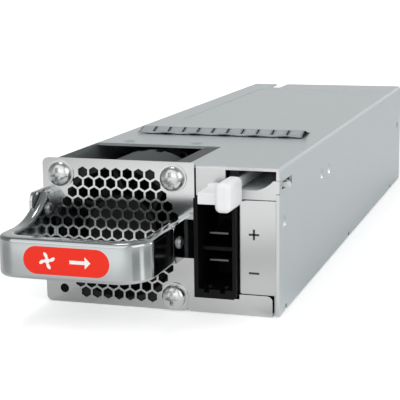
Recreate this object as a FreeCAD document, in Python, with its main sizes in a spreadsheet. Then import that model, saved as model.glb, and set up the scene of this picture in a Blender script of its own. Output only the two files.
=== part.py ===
import FreeCAD, Part
import math
import os

import Sketcher
from FreeCAD import Placement, Rotation, Vector

# Plug-in power supply module: a folded sheet case with a fan and honeycomb grille at the front,
# a pull handle, a direct current inlet, a sprung latch and a board that plugs in at the rear.
# Millimetres. X to the right, Y from front to rear, Z up, origin at the middle of the bottom face.

SIZES = {
    # folded sheet case
    "body_width": 64.3,
    "body_depth": 215,
    "body_height": 39.4,
    "wall": 0.8,
    "bend": 1.2,
    "flap_bend": 0.5,
    "fit": 0.1,
    "skirt_gap": 0.3,
    "tray_flange": 12,
    "dimple_radius": 2.1,
    "dimple_depth": 0.5,
    "dimple_height": 29.1,
    "dimple_first": 52.5,
    "dimple_second": 63,
    "front_dimple_inset": 5.5,
    "front_dimple_height": 24.6,
    "top_dimple_left": 10.3,
    "top_dimple_right": 10.6,
    "edge_notch_width": 2.2,
    "edge_notch_height": 1.4,
    "edge_notch_first": 6.5,
    "edge_notch_pitch": 90.3,
    "recess_width": 47.5,
    "recess_depth": 102,
    "recess_start": 92,
    "recess_sink": 0.15,
    "key_notch_width": 4.9,
    "key_notch_depth": 14.5,
    "key_notch_from_left": 10.2,
    "side_hole_radius": 1.2,
    "side_hole_height": 24,
    "side_hole_from_rear": 8.6,
    # front panel with its honeycomb grille
    "panel_height": 40,
    "panel_ear": 1.7,
    "panel_thick": 1,
    "panel_width": 43.2,
    "panel_corner": 1.5,
    "strip_height": 5.6,
    "strip_gap": 1,
    "panel_foot": 7,
    "panel_foot_inset": 3.5,
    "vee_notch": 0.8,
    "vee_from_edge": 2.3,
    "grille_from_left": 21.35,
    "grille_height": 19.8,
    "hex_pitch": 3.2,
    "hex_across": 2.66,
    "opening_depth": 33,
    # fan
    "fan_size": 37.4,
    "fan_depth": 28,
    "fan_flange": 3.6,
    "fan_barrel_wall": 1,
    "fan_hole_spacing": 32,
    "fan_hub_radius": 10.5,
    "fan_hub_round": 1.5,
    "fan_blade_lean": 5,
    "fan_blade_inset": 2,
    "fan_blade_root": 0.8,
    "fan_blade_gap": 0.7,
    "fan_blade_thick": 1,
    "fan_strut": 1,
    "wire_notch_width": 2.2,
    "wire_notch_depth": 2.6,
    "wire_notch_offset": 2.4,
    "fan_shaft_radius": 1.5,
    "running_gap": 0.05,
    "partition_thick": 0.6,
    "partition_lip": 4.7,
    # screws
    "screw_head_radius": 3.75,
    "screw_head_height": 2.9,
    "screw_radius": 1.6,
    "screw_length": 9,
    "small_head_radius": 2.3,
    "small_head_height": 1.3,
    "small_radius": 1.2,
    "light_radius": 1.2,
    "light_length": 32,
    # pull handle
    "handle_reach": 31.5,
    "handle_height": 10.3,
    "handle_centre": 19.75,
    "handle_width": 40.35,
    "handle_arm": 3.4,
    "handle_bar": 4.5,
    "handle_left_round": 6,
    "handle_right_round": 8.5,
    "handle_left_inner": 3.5,
    "handle_right_inner": 5,
    "handle_edge": 1,
    "flare_height": 23.2,
    "flare_start": 10.5,
    "flare_end": 27.5,
    "flare_radius": 26,
    "tab_reach": 9,
    "tab_corner": 2.3,
    "tab_screw_rise": 7.2,
    "inlay_length": 23.1,
    "inlay_height": 7.2,
    "inlay_sink": 0.4,
    # direct current inlet
    "inlet_width": 11.4,
    "inlet_top_gap": 1.5,
    "inlet_bottom": 4.6,
    "inlet_proud": 2.3,
    "inlet_depth": 24,
    "inlet_gap": 0.35,
    "inlet_side_wall": 1.2,
    "inlet_thick_wall": 0.95,
    "inlet_floor": 2.4,
    "inlet_roof": 1.2,
    "inlet_middle": 1.1,
    "inlet_middle_height": 17.1,
    "inlet_middle_sink": 4.3,
    "inlet_cavity_depth": 18,
    "inlet_chamfer": 0.6,
    "inlet_ear": 2.2,
    "inlet_ear_inset": 5,
    "key_slot_first": 1.5,
    "key_slot_pitch": 4.4,
    "key_slot_width": 1.4,
    "key_slot_depth": 0.9,
    "plate_flange": 13,
    "blade_width": 5.3,
    "blade_thick": 0.6,
    "blade_sink": 3.8,
    "blade_high": 21.4,
    "blade_high_tail": 9,
    "blade_low": 14.1,
    "blade_low_tail": 5,
    # latch
    "shelf_drop": 5.1,
    "shelf_lip": 2.45,
    "shelf_ear": 2.6,
    "ear_run": 5.15,
    "ear_sweep": 9,
    "shelf_hem": 8,
    "shelf_hem_start": 15,
    "shelf_depth": 30,
    "flap_width": 8,
    "slit": 0.5,
    "latch_pivot_depth": 50,
    "latch_pivot_inset": 3.55,
    "latch_pin_radius": 1,
    "latch_eye_radius": 1.9,
    "latch_strip": 0.8,
    "latch_lift": 0.3,
    "tooth_reach": 1.5,
    "tooth_height": 1.3,
    "tooth_flat": 1.2,
    "tooth_front": 5.2,
    "tooth_rear": 13.9,
    "slot_margin": 0.3,
    "slot_front_gap": 2.4,
    "slot_top_gap": 0.5,
    "arm_inset": 1.1,
    "arm_cross": 25,
    "arm_cover": 1.2,
    "arm_overlap": 15,
    "arm_rise": 0.3,
    "arm_drop": 0.7,
    "bracket_half": 2.5,
    "bracket_length": 18,
    "bracket_drop": 14.6,
    "spring_sheet": 0.3,
    "spring_length": 26,
    "spring_inset": 0.6,
    "eye_room": 0.3,
    "tab_width": 4.2,
    "tab_overhang": 1.6,
    "tab_height": 7.6,
    "tab_drop": 3.6,
    "tab_length": 10.9,
    "tab_gap": 0.5,
    "stub_width": 5,
    "stub_height": 3,
    "stub_setback": 2.2,
    "stub_rise": 1.7,
    "stub_root": 1,
    "stub_lip_inset": 0.6,
    "stub_lip_height": 1.1,
    "stub_lip_depth": 2,
    "tab_round": 1.5,
    "tab_edge": 1.3,
    # spring finger strip
    "finger_start": 53.9,
    "finger_ramp": 5.2,
    "finger_fall": 5.9,
    "finger_rise": 1.75,
    "finger_sheet": 0.25,
    "finger_span": 52,
    "finger_foot": 1.6,
    "finger_slit": 0.4,
    "finger_lip": 0.8,
    "finger_toe": 0.1,
    "finger_offset": 0.5,
    # board and rear
    "board_thick": 1.6,
    "standoff_height": 5.2,
    "standoff_radius": 2.6,
    "standoff_inset": 5,
    "board_side_gap": 0.6,
    "board_end_gap": 1,
    "board_fan_gap": 3,
    "shroud": 15,
    "rear_foot": 4,
    "rear_foot_inset": 3,
    "rear_slot_gap": 0.5,
    "tongue_left": 14,
    "tongue_right": 22,
    "tongue_short": 2.5,
    "contact_width": 1.9,
    "contact_pitch": 2.9,
    "contact_length": 9,
    "contact_thick": 0.15,
    "contact_inset": 0.5,
    # components on the board
    "bulk_radius": 8.5,
    "bulk_height": 26,
    "output_radius": 3.9,
    "output_height": 16,
    "can_roll": 0.8,
    "choke_bore": 4.5,
    "choke_radius": 9.5,
    "choke_height": 12,
    "choke_round": 1.5,
    "sink_wall": 3,
    "sink_fin": 1.2,
    "sink_height": 27,
    "package_height": 15,
    "package_lift": 5,
    "core_height": 24,
    "core_yoke": 4,
    "coil_overhang": 5.5,
    "coil_round": 2.5,
    "inductor_height": 15,
    "card_height": 24,
    "plug_height": 7,
}

FINGERS = 11
FAN_BLADES = 7
CONTACTS = 12
GRILLE_SIDE = 7
VENT_COLUMNS = 11
VENT_LINES = 6
OUTPUT_CANS = 5
SWITCHES = 3
FINS = 5
EDGE_NOTCHES = 3

doc = FreeCAD.newDocument("power_module")
table = doc.addObject("Spreadsheet::Sheet", "size")
for row, (alias, figure) in enumerate(SIZES.items(), start=1):
    table.set(f"A{row}", alias)
    table.set(f"B{row}", str(figure))
    table.setAlias(f"B{row}", alias)
doc.recompute()

# Places that several pieces share, as expressions of the sheet
FRONT = "(-size.body_depth / 2)"
REAR = "(size.body_depth / 2)"
RIGHT = "(size.body_width / 2)"
LEFT = "(-size.body_width / 2)"
TOP = "size.body_height"
IN_RIGHT = f"({RIGHT} - size.wall)"
IN_LEFT = f"({LEFT} + size.wall)"
IN_TOP = "(size.body_height - size.wall)"
TRAY_SIDE = IN_RIGHT
TRAY_INNER = f"({TRAY_SIDE} - size.wall)"
PANEL_LEFT = f"({LEFT} - size.panel_ear)"
PANEL_RIGHT = f"({PANEL_LEFT} + size.panel_width)"
PANEL_BACK = f"({FRONT} + size.panel_thick)"
GRILLE_X = f"({PANEL_LEFT} + size.grille_from_left)"
GRILLE_Z = "size.grille_height"
FAN_FRONT = PANEL_BACK
FAN_BACK = f"({FAN_FRONT} + size.fan_depth)"
FAN_HALF = "(size.fan_size / 2)"
HOLE_HALF = "(size.fan_hole_spacing / 2)"
FLAP_LEFT = f"({PANEL_RIGHT} + size.slit)"
FLAP_RIGHT = f"({FLAP_LEFT} + size.flap_width)"
INLET_LEFT = f"({PANEL_RIGHT} + size.inlet_gap)"
INLET_RIGHT = f"({INLET_LEFT} + size.inlet_width)"
SHELF = f"({IN_TOP} - size.shelf_drop)"
LATCH_Z = f"({SHELF} + size.latch_lift)"
LATCH_TOP = f"({IN_TOP} - 3 * size.fit - size.wall)"
TOOTH_TOP = f"({LATCH_Z} + size.tooth_height)"
TOOTH_FRONT = f"({FRONT} + size.tooth_front)"
TOOTH_REAR = f"({FRONT} + size.tooth_rear)"
INLET_TOP = f"({SHELF} - size.wall - size.inlet_top_gap)"
INLET_FRONT = f"({FRONT} - size.inlet_proud)"
INLET_BACK = f"({INLET_FRONT} + size.inlet_depth)"
PLATE_FRONT = f"({FRONT} + size.fit)"
PLATE_BACK = f"({PLATE_FRONT} + size.wall)"
PLATE_LEFT = f"({INLET_RIGHT} + size.inlet_gap)"
BOARD_Z = "(size.wall + size.standoff_height)"
BOARD_TOP = f"({BOARD_Z} + size.board_thick)"
BOARD_HALF = f"({TRAY_INNER} - size.board_side_gap)"
REAR_PANEL = f"({REAR} - size.shroud)"
BOARD_FRONT = f"({FRONT} + size.opening_depth + size.board_fan_gap)"
BOARD_LENGTH = f"({REAR_PANEL} - {BOARD_FRONT})"
STANDOFF_ROWS = (0.05, 0.56, 0.94)
HANDLE_FRONT = f"({FRONT} - size.handle_reach)"
HANDLE_RIGHT = f"({PANEL_LEFT} + size.handle_width)"
HANDLE_LOW = "(size.handle_centre - size.handle_height / 2)"
HANDLE_HIGH = "(size.handle_centre + size.handle_height / 2)"
FLARE_LOW = "(size.handle_centre - size.flare_height / 2)"
FLARE_HIGH = "(size.handle_centre + size.flare_height / 2)"
TAB_FRONT = f"({FRONT} - size.tab_reach)"
TAB_HOLE = "(size.small_radius + size.running_gap)"
TAB_SCREW_Y = f"({FRONT} - size.tab_reach / 2)"
LEFT_SCREWS = ("size.handle_centre - size.tab_screw_rise", "size.handle_centre + size.tab_screw_rise")
DIMPLE_BALL = "((size.dimple_radius ^ 2 + size.dimple_depth ^ 2) / (2 * size.dimple_depth))"
DIMPLE_RISE = f"({DIMPLE_BALL} - size.dimple_depth)"
SIDE_DIMPLES = (
    ("size.front_dimple_inset", "size.front_dimple_height"),
    ("size.dimple_first", "size.dimple_height"),
    ("size.dimple_second", "size.dimple_height"),
)
TOP_DIMPLES = (f"{GRILLE_X} - size.top_dimple_left", f"{GRILLE_X} + size.top_dimple_right")
nodes = {}


def number(expression):
    """The value of an expression of the sheet."""
    return float(table.evalExpression(str(expression)))


def name_node(item, label):
    """Gives a finished sub-part the label that names its file."""
    item.Label = label
    nodes[label] = item
    return item


def place(item, x, y, z):
    """Binds an object's position to three expressions."""
    for axis, expression in zip("xyz", (x, y, z)):
        item.setExpression(f"Placement.Base.{axis}", str(expression))


def box(name, x, y, z):
    """A block between two expressions on each axis."""
    block = doc.addObject("Part::Box", name)
    for side, (low, high) in zip(("Length", "Width", "Height"), (x, y, z)):
        block.setExpression(side, f"({high}) - ({low})")
    place(block, x[0], y[0], z[0])
    return block


TURNS = {
    "x": Rotation(Vector(0, 1, 0), 90),
    "y": Rotation(Vector(1, 0, 0), -90),
    "z": Rotation(),
}


def rod(name, axis, x, y, z, radius, length):
    """A cylinder that starts at a point and runs along an axis."""
    cylinder = doc.addObject("Part::Cylinder", name)
    cylinder.Placement = Placement(Vector(), TURNS[axis])
    cylinder.setExpression("Radius", str(radius))
    cylinder.setExpression("Height", str(length))
    place(cylinder, x, y, z)
    return cylinder


def fuse(name, *items):
    """One solid from pieces that meet."""
    joined = doc.addObject("Part::MultiFuse", name)
    joined.Shapes = list(items)
    joined.Refine = True
    return joined


def cut(name, base, *tools):
    """A piece with one or more tools taken out of it."""
    result = doc.addObject("Part::Cut", name)
    result.Base = base
    result.Tool = tools[0] if len(tools) == 1 else group(name + "_tools", *tools)
    result.Refine = True
    return result


def group(name, *items):
    """Separate solids kept together."""
    together = doc.addObject("Part::Compound", name)
    together.Links = list(items)
    return together


def draw(sketch, outline):
    """Draws a closed outline of (x, y) corners; (x, y, radius, turn) leaves its corner by an arc."""
    corners = [Vector(number(c[0]), number(c[1]), 0) for c in outline]
    count = len(outline)
    ends = []
    for i, corner in enumerate(outline):
        start, stop = corners[i], corners[(i + 1) % count]
        if len(corner) == 2:
            sketch.addGeometry(Part.LineSegment(start, stop), False)
            ends.append((1, 2))
            continue
        radius, turn = number(corner[2]), corner[3]
        chord = stop - start
        across = Vector(-chord.y, chord.x, 0).normalize() * (1 if turn == "left" else -1)
        centre = (start + stop) * 0.5 + across * math.sqrt(radius ** 2 - (chord.Length / 2) ** 2)
        first, last = (start, stop) if turn == "left" else (stop, start)
        angles = [math.atan2(p.y - centre.y, p.x - centre.x) for p in (first, last)]
        if angles[1] < angles[0]:
            angles[1] += 2 * math.pi
        circle = Part.Circle(centre, Vector(0, 0, 1), radius)
        sketch.addGeometry(Part.ArcOfCircle(circle, *angles), False)
        ends.append((1, 2) if turn == "left" else (2, 1))
    for i in range(count):
        following = (i + 1) % count
        sketch.addConstraint(
            Sketcher.Constraint("Coincident", i, ends[i][1], following, ends[following][0])
        )
    for i, corner in enumerate(outline):
        for kind, expression in zip(("DistanceX", "DistanceY"), corner[:2]):
            entry = Sketcher.Constraint(kind, -1, 1, i, ends[i][0], number(expression))
            index = sketch.addConstraint(entry)
            sketch.setExpression(f"Constraints[{index}]", str(expression))
        if len(corner) == 4:
            index = sketch.addConstraint(Sketcher.Constraint("Radius", i, number(corner[2])))
            sketch.setExpression(f"Constraints[{index}]", str(corner[2]))


def sketch_on(body, plane, outline, offset):
    """A sketch on one of the body's own planes, moved along the axis that crosses it."""
    sketch = body.newObject("Sketcher::SketchObject", body.Name + "_outline")
    support = next(f for f in body.Origin.OriginFeatures if f.Role == plane + "_Plane")
    sketch.AttachmentSupport = [(support, "")]
    sketch.MapMode = "FlatFace"
    sign = "-" if plane == "XZ" else ""
    sketch.setExpression("AttachmentOffset.Base.z", f"{sign}({offset})")
    draw(sketch, outline)
    return sketch


def pad(name, plane, outline, start, end):
    """A body: an outline on a plane, padded from start to end along the crossing axis."""
    body = doc.addObject("PartDesign::Body", name)
    feature = body.newObject("PartDesign::Pad", name + "_pad")
    feature.Profile = sketch_on(body, plane, outline, start)
    feature.setExpression("Length", f"({end}) - ({start})")
    feature.Reversed = plane == "XZ"
    return body


def add_pad(body, plane, outline, start, end):
    """Another pad on the same body."""
    feature = body.newObject("PartDesign::Pad", body.Name + "_pad")
    feature.Profile = sketch_on(body, plane, outline, start)
    feature.setExpression("Length", f"({end}) - ({start})")
    feature.Reversed = plane == "XZ"


def pocket(body, plane, outline, start, end):
    """Takes an outline out of a body between start and end, and checks that it took something."""
    doc.recompute()
    before = body.Shape.Volume
    feature = body.newObject("PartDesign::Pocket", body.Name + "_pocket")
    feature.Profile = sketch_on(body, plane, outline, start)
    feature.setExpression("Length", f"({end}) - ({start})")
    feature.Reversed = plane != "XZ"
    doc.recompute()
    if not body.Shape.Volume < before:
        raise ValueError(body.Name + " has a pocket that takes nothing away")


def rectangle(x, y):
    """The corners of a rectangle between two expressions each way."""
    return [(x[0], y[0]), (x[1], y[0]), (x[1], y[1]), (x[0], y[1])]


def along(axis, **at):
    """A test for straight edges along an axis whose middle lies at the given places."""
    spots = {key: number(value) for key, value in at.items()}

    def fits(edge):
        if edge.Curve.TypeId != "Part::GeomLine":
            return False
        direction = edge.tangentAt(edge.FirstParameter)
        if abs(abs(getattr(direction, axis)) - 1) > 1e-6:
            return False
        middle = edge.CenterOfMass
        return all(abs(getattr(middle, key) - value) < 0.01 for key, value in spots.items())

    return fits


def round_edges(body, radius, *tests, kind="Fillet"):
    """Rounds the edges of a body that meet any of the tests, or chamfers them."""
    doc.recompute()
    tip = body.Tip
    edges = enumerate(tip.Shape.Edges, start=1)
    names = [f"Edge{i}" for i, edge in edges if any(test(edge) for test in tests)]
    feature = body.newObject("PartDesign::" + kind, body.Name + "_round")
    feature.Base = (tip, names)
    feature.setExpression("Radius" if kind == "Fillet" else "Size", str(radius))


def turned(name, outline):
    """A body turned about its own Z axis from an outline of (radius, height) corners."""
    body = doc.addObject("PartDesign::Body", name)
    sketch = sketch_on(body, "XZ", outline, "0")
    feature = body.newObject("PartDesign::Revolution", name + "_turn")
    feature.Profile = sketch
    feature.ReferenceAxis = (sketch, ["V_Axis"])
    feature.Angle = 360
    return body


def stand(body, axis, x, y, z, flip=False):
    """Turns a body's own Z axis onto an axis and puts it in place."""
    turn = TURNS[axis]
    if flip:
        turn = turn.multiply(Rotation(Vector(1, 0, 0), 180))
    body.Placement = Placement(Vector(), turn)
    place(body, x, y, z)
    return body


def honeycomb(name, rows, centre, cell, sheet):
    """Six-sided prisms in staggered rows, point up, through a sheet that faces along Y.

    The centre is given as (x, z), a cell as (pitch, width across flats), the sheet as (front, depth).
    """
    step, flat = number(cell[0]), number(cell[1])
    middle = Vector(number(centre[0]), number(sheet[0]), number(centre[1]))
    corner = flat / math.sqrt(3)
    corners = [
        Vector(corner * math.sin(math.radians(60 * k)), 0, corner * math.cos(math.radians(60 * k)))
        for k in range(7)
    ]
    rise = step * math.sqrt(3) / 2
    prisms = []
    for row, count in enumerate(rows):
        height = ((len(rows) - 1) / 2 - row) * rise
        for k in range(count):
            spot = middle + Vector((k - (count - 1) / 2) * step, 0, height)
            wire = Part.makePolygon([spot + c for c in corners])
            prisms.append(Part.Face(wire).extrude(Vector(0, number(sheet[1]), 0)))
    holes = doc.addObject("Part::Feature", name)
    holes.Shape = Part.makeCompound(prisms)
    return holes


def chassis_tray():
    """Bottom sheet with two low side flanges; the left one stops behind the fan."""
    section = [
        (f"-{TRAY_SIDE}", "0"),
        (TRAY_SIDE, "0"),
        (TRAY_SIDE, "size.tray_flange"),
        (TRAY_INNER, "size.tray_flange"),
        (TRAY_INNER, "size.wall"),
        (f"-{TRAY_INNER}", "size.wall"),
        (f"-{TRAY_INNER}", "size.tray_flange"),
        (f"-{TRAY_SIDE}", "size.tray_flange"),
    ]
    start = f"{PANEL_BACK} + size.fit"
    sheet = pad("tray_sheet", "XZ", section, start, REAR)
    round_edges(sheet, "size.bend", along("y", x=TRAY_SIDE, z=0), along("y", x=f"-{TRAY_SIDE}", z=0))
    fan_bay = box(
        "tray_fan_bay",
        (LEFT, f"-{TRAY_INNER} + size.wall"),
        (FRONT, f"{FAN_BACK} + size.wall"),
        ("size.wall", "size.tray_flange + size.wall"),
    )
    name_node(cut("tray", sheet, fan_bay), "chassis_tray")


def dimple(name, x, y, z):
    """The ball that presses a shallow round dimple, centred outside the sheet."""
    ball = doc.addObject("Part::Sphere", name)
    ball.setExpression("Radius", DIMPLE_BALL)
    place(ball, x, y, z)
    return ball


def top_cover():
    """Top and both sides in one folded sheet, with its cut-outs and the folded front flap."""
    section = [
        (LEFT, "size.skirt_gap"),
        (IN_LEFT, "size.skirt_gap"),
        (IN_LEFT, IN_TOP),
        (IN_RIGHT, IN_TOP),
        (IN_RIGHT, "size.skirt_gap"),
        (RIGHT, "size.skirt_gap"),
        (RIGHT, TOP),
        (LEFT, TOP),
    ]
    sheet = pad("cover_sheet", "XZ", section, FRONT, REAR)
    round_edges(sheet, "size.bend", along("y", x=LEFT, z=TOP), along("y", x=RIGHT, z=TOP))
    flap = box(
        "cover_flap",
        (FLAP_LEFT, FLAP_RIGHT),
        (FRONT, f"{FRONT} + size.wall"),
        (f"{INLET_TOP} + size.inlet_gap", TOP),
    )
    fold = pad(
        "cover_fold",
        "YZ",
        [
            (FRONT, TOP),
            (FRONT, f"{TOP} - size.flap_bend", "size.flap_bend", "right"),
            (f"{FRONT} + size.flap_bend", TOP),
        ],
        PANEL_RIGHT,
        FLAP_RIGHT,
    )
    key_left = f"({LEFT} + size.key_notch_from_left)"
    tools = [
        fold,
        box("cover_setback", (LEFT, FLAP_LEFT), (FRONT, f"{PANEL_BACK} + size.fit"), ("0", TOP)),
        box(
            "cover_fan_opening",
            (IN_LEFT, f"{GRILLE_X} + {FAN_HALF} + 2 * size.fit + size.partition_thick"),
            (FRONT, f"{FRONT} + size.opening_depth"),
            (IN_TOP, f"{TOP} + size.wall"),
        ),
        box(
            "cover_latch_slot",
            (IN_RIGHT, f"{RIGHT} + size.wall"),
            (f"{TOOTH_FRONT} - size.slot_front_gap", f"{TOOTH_REAR} + size.slot_margin"),
            (f"{LATCH_Z} - size.slot_margin", f"{TOOTH_TOP} + size.slot_top_gap"),
        ),
        box(
            "cover_ear_notch",
            (IN_RIGHT, f"{RIGHT} + size.wall"),
            (FRONT, f"{PLATE_BACK} + size.fit"),
            (f"{SHELF} - size.wall - size.fit", f"{SHELF} + size.shelf_ear + size.fit"),
        ),
        box(
            "cover_label_recess",
            ("-size.recess_width / 2", "size.recess_width / 2"),
            (f"{FRONT} + size.recess_start", f"{FRONT} + size.recess_start + size.recess_depth"),
            (f"{TOP} - size.recess_sink", f"{TOP} + size.wall"),
        ),
        box(
            "cover_key_notch",
            (key_left, f"{key_left} + size.key_notch_width"),
            (f"{REAR} - size.key_notch_depth", f"{REAR} + size.wall"),
            (IN_TOP, f"{TOP} + size.wall"),
        ),
        rod(
            "cover_side_hole",
            "x",
            IN_RIGHT,
            f"{REAR} - size.side_hole_from_rear",
            "size.side_hole_height",
            "size.side_hole_radius",
            "size.wall",
        ),
    ]
    for depth, height in SIDE_DIMPLES:
        tools.append(dimple("cover_side_dimple", f"{RIGHT} + {DIMPLE_RISE}", f"{FRONT} + {depth}", height))
    for across in TOP_DIMPLES:
        depth = f"{FRONT} + size.opening_depth + 2 * size.dimple_radius"
        tools.append(dimple("cover_top_dimple", across, depth, f"{TOP} + {DIMPLE_RISE}"))
    for k in range(EDGE_NOTCHES):
        start = f"({FRONT} + size.edge_notch_first + {k} * size.edge_notch_pitch)"
        tools.append(
            box(
                "cover_edge_notch",
                (IN_RIGHT, RIGHT),
                (start, f"{start} + size.edge_notch_width"),
                ("0", "size.skirt_gap + size.edge_notch_height"),
            )
        )
    name_node(cut("cover", fuse("cover_blank", sheet, flap), *tools), "top_cover")


def front_panel():
    """Fan plate, low strip under the inlet and two bent tabs for the handle, from one sheet."""
    vee = f"({PANEL_RIGHT} - size.vee_from_edge)"
    strip_end = f"({IN_RIGHT} - size.strip_gap)"
    under_inlet = "(size.inlet_bottom - size.inlet_gap)"
    outline = [
        (PANEL_LEFT, "0"),
        (f"{vee} - size.vee_notch", "0"),
        (vee, "size.vee_notch"),
        (f"{vee} + size.vee_notch", "0"),
        (strip_end, "0"),
        (strip_end, "size.strip_height"),
        (PLATE_LEFT, "size.strip_height"),
        (PLATE_LEFT, under_inlet),
        (PANEL_RIGHT, under_inlet),
        (PANEL_RIGHT, f"{HANDLE_LOW} - size.fit"),
        (HANDLE_RIGHT, f"{HANDLE_LOW} - size.fit"),
        (HANDLE_RIGHT, f"{HANDLE_HIGH} + size.fit"),
        (PANEL_RIGHT, f"{HANDLE_HIGH} + size.fit"),
        (PANEL_RIGHT, "size.panel_height"),
        (PANEL_LEFT, "size.panel_height"),
    ]
    sheet = pad("panel_sheet", "XZ", outline, FRONT, PANEL_BACK)
    round_edges(
        sheet,
        "size.panel_corner",
        along("y", x=PANEL_LEFT, z="size.panel_height"),
        along("y", x=PANEL_LEFT, z=0),
        along("y", x=strip_end, z="size.strip_height"),
    )
    low, high = f"{FLARE_LOW} - size.wall / 2", f"{FLARE_HIGH} + size.wall / 2"
    left_tab = pad(
        "panel_left_tab",
        "YZ",
        rectangle((TAB_FRONT, PANEL_BACK), (low, high)),
        PANEL_LEFT,
        f"{PANEL_LEFT} + size.wall",
    )
    right_tab = pad(
        "panel_right_tab",
        "YZ",
        rectangle((TAB_FRONT, PANEL_BACK), (HANDLE_LOW, HANDLE_HIGH)),
        f"{HANDLE_RIGHT} - size.wall",
        HANDLE_RIGHT,
    )
    for tab in (left_tab, right_tab):
        round_edges(tab, "size.tab_corner", along("x", y=TAB_FRONT))
    foot = box(
        "panel_foot",
        (f"{INLET_LEFT} + size.panel_foot_inset", f"{TRAY_INNER} - 2 * size.wall"),
        (PANEL_BACK, f"{PANEL_BACK} + size.panel_foot"),
        ("size.wall", "size.wall + size.panel_thick"),
    )
    corners = [(-1, 1), (1, 1), (1, -1), (-1, -1)]
    holes = []
    for across, up in corners:
        radius = "size.screw_radius" if (across, up) != (-1, -1) else "size.light_radius"
        holes.append(
            rod(
                "panel_hole",
                "y",
                f"{GRILLE_X} + {across} * {HOLE_HALF}",
                FRONT,
                f"{GRILLE_Z} + {up} * {HOLE_HALF}",
                f"{radius} + size.running_gap",
                "size.panel_thick",
            )
        )
    for height in LEFT_SCREWS:
        holes.append(rod("panel_tab_hole", "x", PANEL_LEFT, TAB_SCREW_Y, height, TAB_HOLE, "size.wall"))
    right_start = f"{HANDLE_RIGHT} - size.wall"
    holes.append(
        rod("panel_tab_hole", "x", right_start, TAB_SCREW_Y, "size.handle_centre", TAB_HOLE, "size.wall")
    )
    for height in (low, f"{high} - 2 * size.wall"):
        holes.append(
            box(
                "panel_relief",
                (f"{PANEL_LEFT} + size.wall", f"{PANEL_LEFT} + 1.6 * size.wall"),
                (FRONT, PANEL_BACK),
                (height, f"{height} + 2 * size.wall"),
            )
        )
    rows = [2 * GRILLE_SIDE - 1 - abs(k) for k in range(1 - GRILLE_SIDE, GRILLE_SIDE)]
    rows[GRILLE_SIDE - 1] -= 2
    grille = honeycomb(
        "panel_grille",
        rows,
        (GRILLE_X, GRILLE_Z),
        ("size.hex_pitch", "size.hex_across"),
        (FRONT, "size.panel_thick"),
    )
    blank = fuse("panel_blank", sheet, left_tab, right_tab, foot)
    name_node(cut("panel", blank, grille, *holes), "front_panel")


def pull_handle():
    """A loop of rounded section whose left arm flares up and down to the full plate height."""
    inner_left = f"({PANEL_LEFT} + size.handle_arm)"
    inner_right = f"({HANDLE_RIGHT} - size.handle_arm)"
    inner_front = f"({HANDLE_FRONT} + size.handle_bar)"
    foot = f"({FRONT} - size.fit)"
    loop = [
        (PANEL_LEFT, foot),
        (PANEL_LEFT, HANDLE_FRONT),
        (HANDLE_RIGHT, HANDLE_FRONT),
        (HANDLE_RIGHT, foot),
        (inner_right, foot),
        (inner_right, inner_front),
        (inner_left, inner_front),
        (inner_left, foot),
    ]
    body = pad("handle_loop", "XY", loop, FLARE_LOW, FLARE_HIGH)
    round_edges(body, "size.handle_left_round", along("z", x=PANEL_LEFT, y=HANDLE_FRONT))
    round_edges(body, "size.handle_right_round", along("z", x=HANDLE_RIGHT, y=HANDLE_FRONT))
    round_edges(body, "size.handle_left_inner", along("z", x=inner_left, y=inner_front))
    round_edges(body, "size.handle_right_inner", along("z", x=inner_right, y=inner_front))
    past = f"({HANDLE_FRONT} - size.handle_bar)"
    flare_start = f"({HANDLE_FRONT} + size.flare_start)"
    flare_end = f"({HANDLE_FRONT} + size.flare_end)"
    middle = GRILLE_X
    for edge, limit, turn in ((HANDLE_HIGH, FLARE_HIGH, "left"), (HANDLE_LOW, FLARE_LOW, "right")):
        clear = f"({limit} + size.handle_bar)" if turn == "left" else f"({limit} - size.handle_bar)"
        waste = [
            (past, edge),
            (flare_start, edge, "size.flare_radius", turn),
            (flare_end, limit),
            (flare_end, clear),
            (past, clear),
        ]
        pocket(body, "YZ", waste, f"{PANEL_LEFT} - size.wall", middle)
        rest = rectangle((past, "0"), (edge, clear))
        pocket(body, "YZ", rest, middle, f"{HANDLE_RIGHT} + size.wall")
    rim = [number(HANDLE_HIGH), number(HANDLE_LOW)]
    front = number(FRONT)

    def on_rim(edge):
        middle_point = edge.CenterOfMass
        if middle_point.y > front - 1:
            return False
        return any(abs(v.Z - z) < 0.01 for v in edge.Vertexes for z in rim) and not along("z")(edge)

    round_edges(body, "size.handle_edge", on_rim)
    left_seat = box(
        "handle_left_seat",
        (f"{PANEL_LEFT} - size.wall", f"{PANEL_LEFT} + size.wall"),
        (f"{TAB_FRONT} - size.fit", FRONT),
        (f"{FLARE_LOW} - size.wall", f"{FLARE_HIGH} + size.wall"),
    )
    right_seat = box(
        "handle_right_seat",
        (f"{HANDLE_RIGHT} - size.wall", f"{HANDLE_RIGHT} + size.wall"),
        (f"{TAB_FRONT} - size.fit", FRONT),
        (f"{HANDLE_LOW} - size.wall", f"{HANDLE_HIGH} + size.wall"),
    )
    holes = [
        rod("handle_hole", "x", PANEL_LEFT, TAB_SCREW_Y, height, TAB_HOLE, "size.handle_arm + size.fit")
        for height in LEFT_SCREWS
    ]
    start = f"{HANDLE_RIGHT} - size.handle_arm - size.fit"
    long_hole = "size.handle_arm + size.fit"
    holes.append(rod("handle_hole", "x", start, TAB_SCREW_Y, "size.handle_centre", TAB_HOLE, long_hole))
    floor = f"{HANDLE_FRONT} + size.inlay_sink"
    recess = stadium("handle_recess", "size.fit / 2", f"{HANDLE_FRONT} - size.wall", floor)
    name_node(cut("handle_body", body, left_seat, right_seat, recess, *holes), "handle")
    inlay = stadium("inlay", "0", HANDLE_FRONT, floor)
    name_node(inlay, "handle_inlay")


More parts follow.
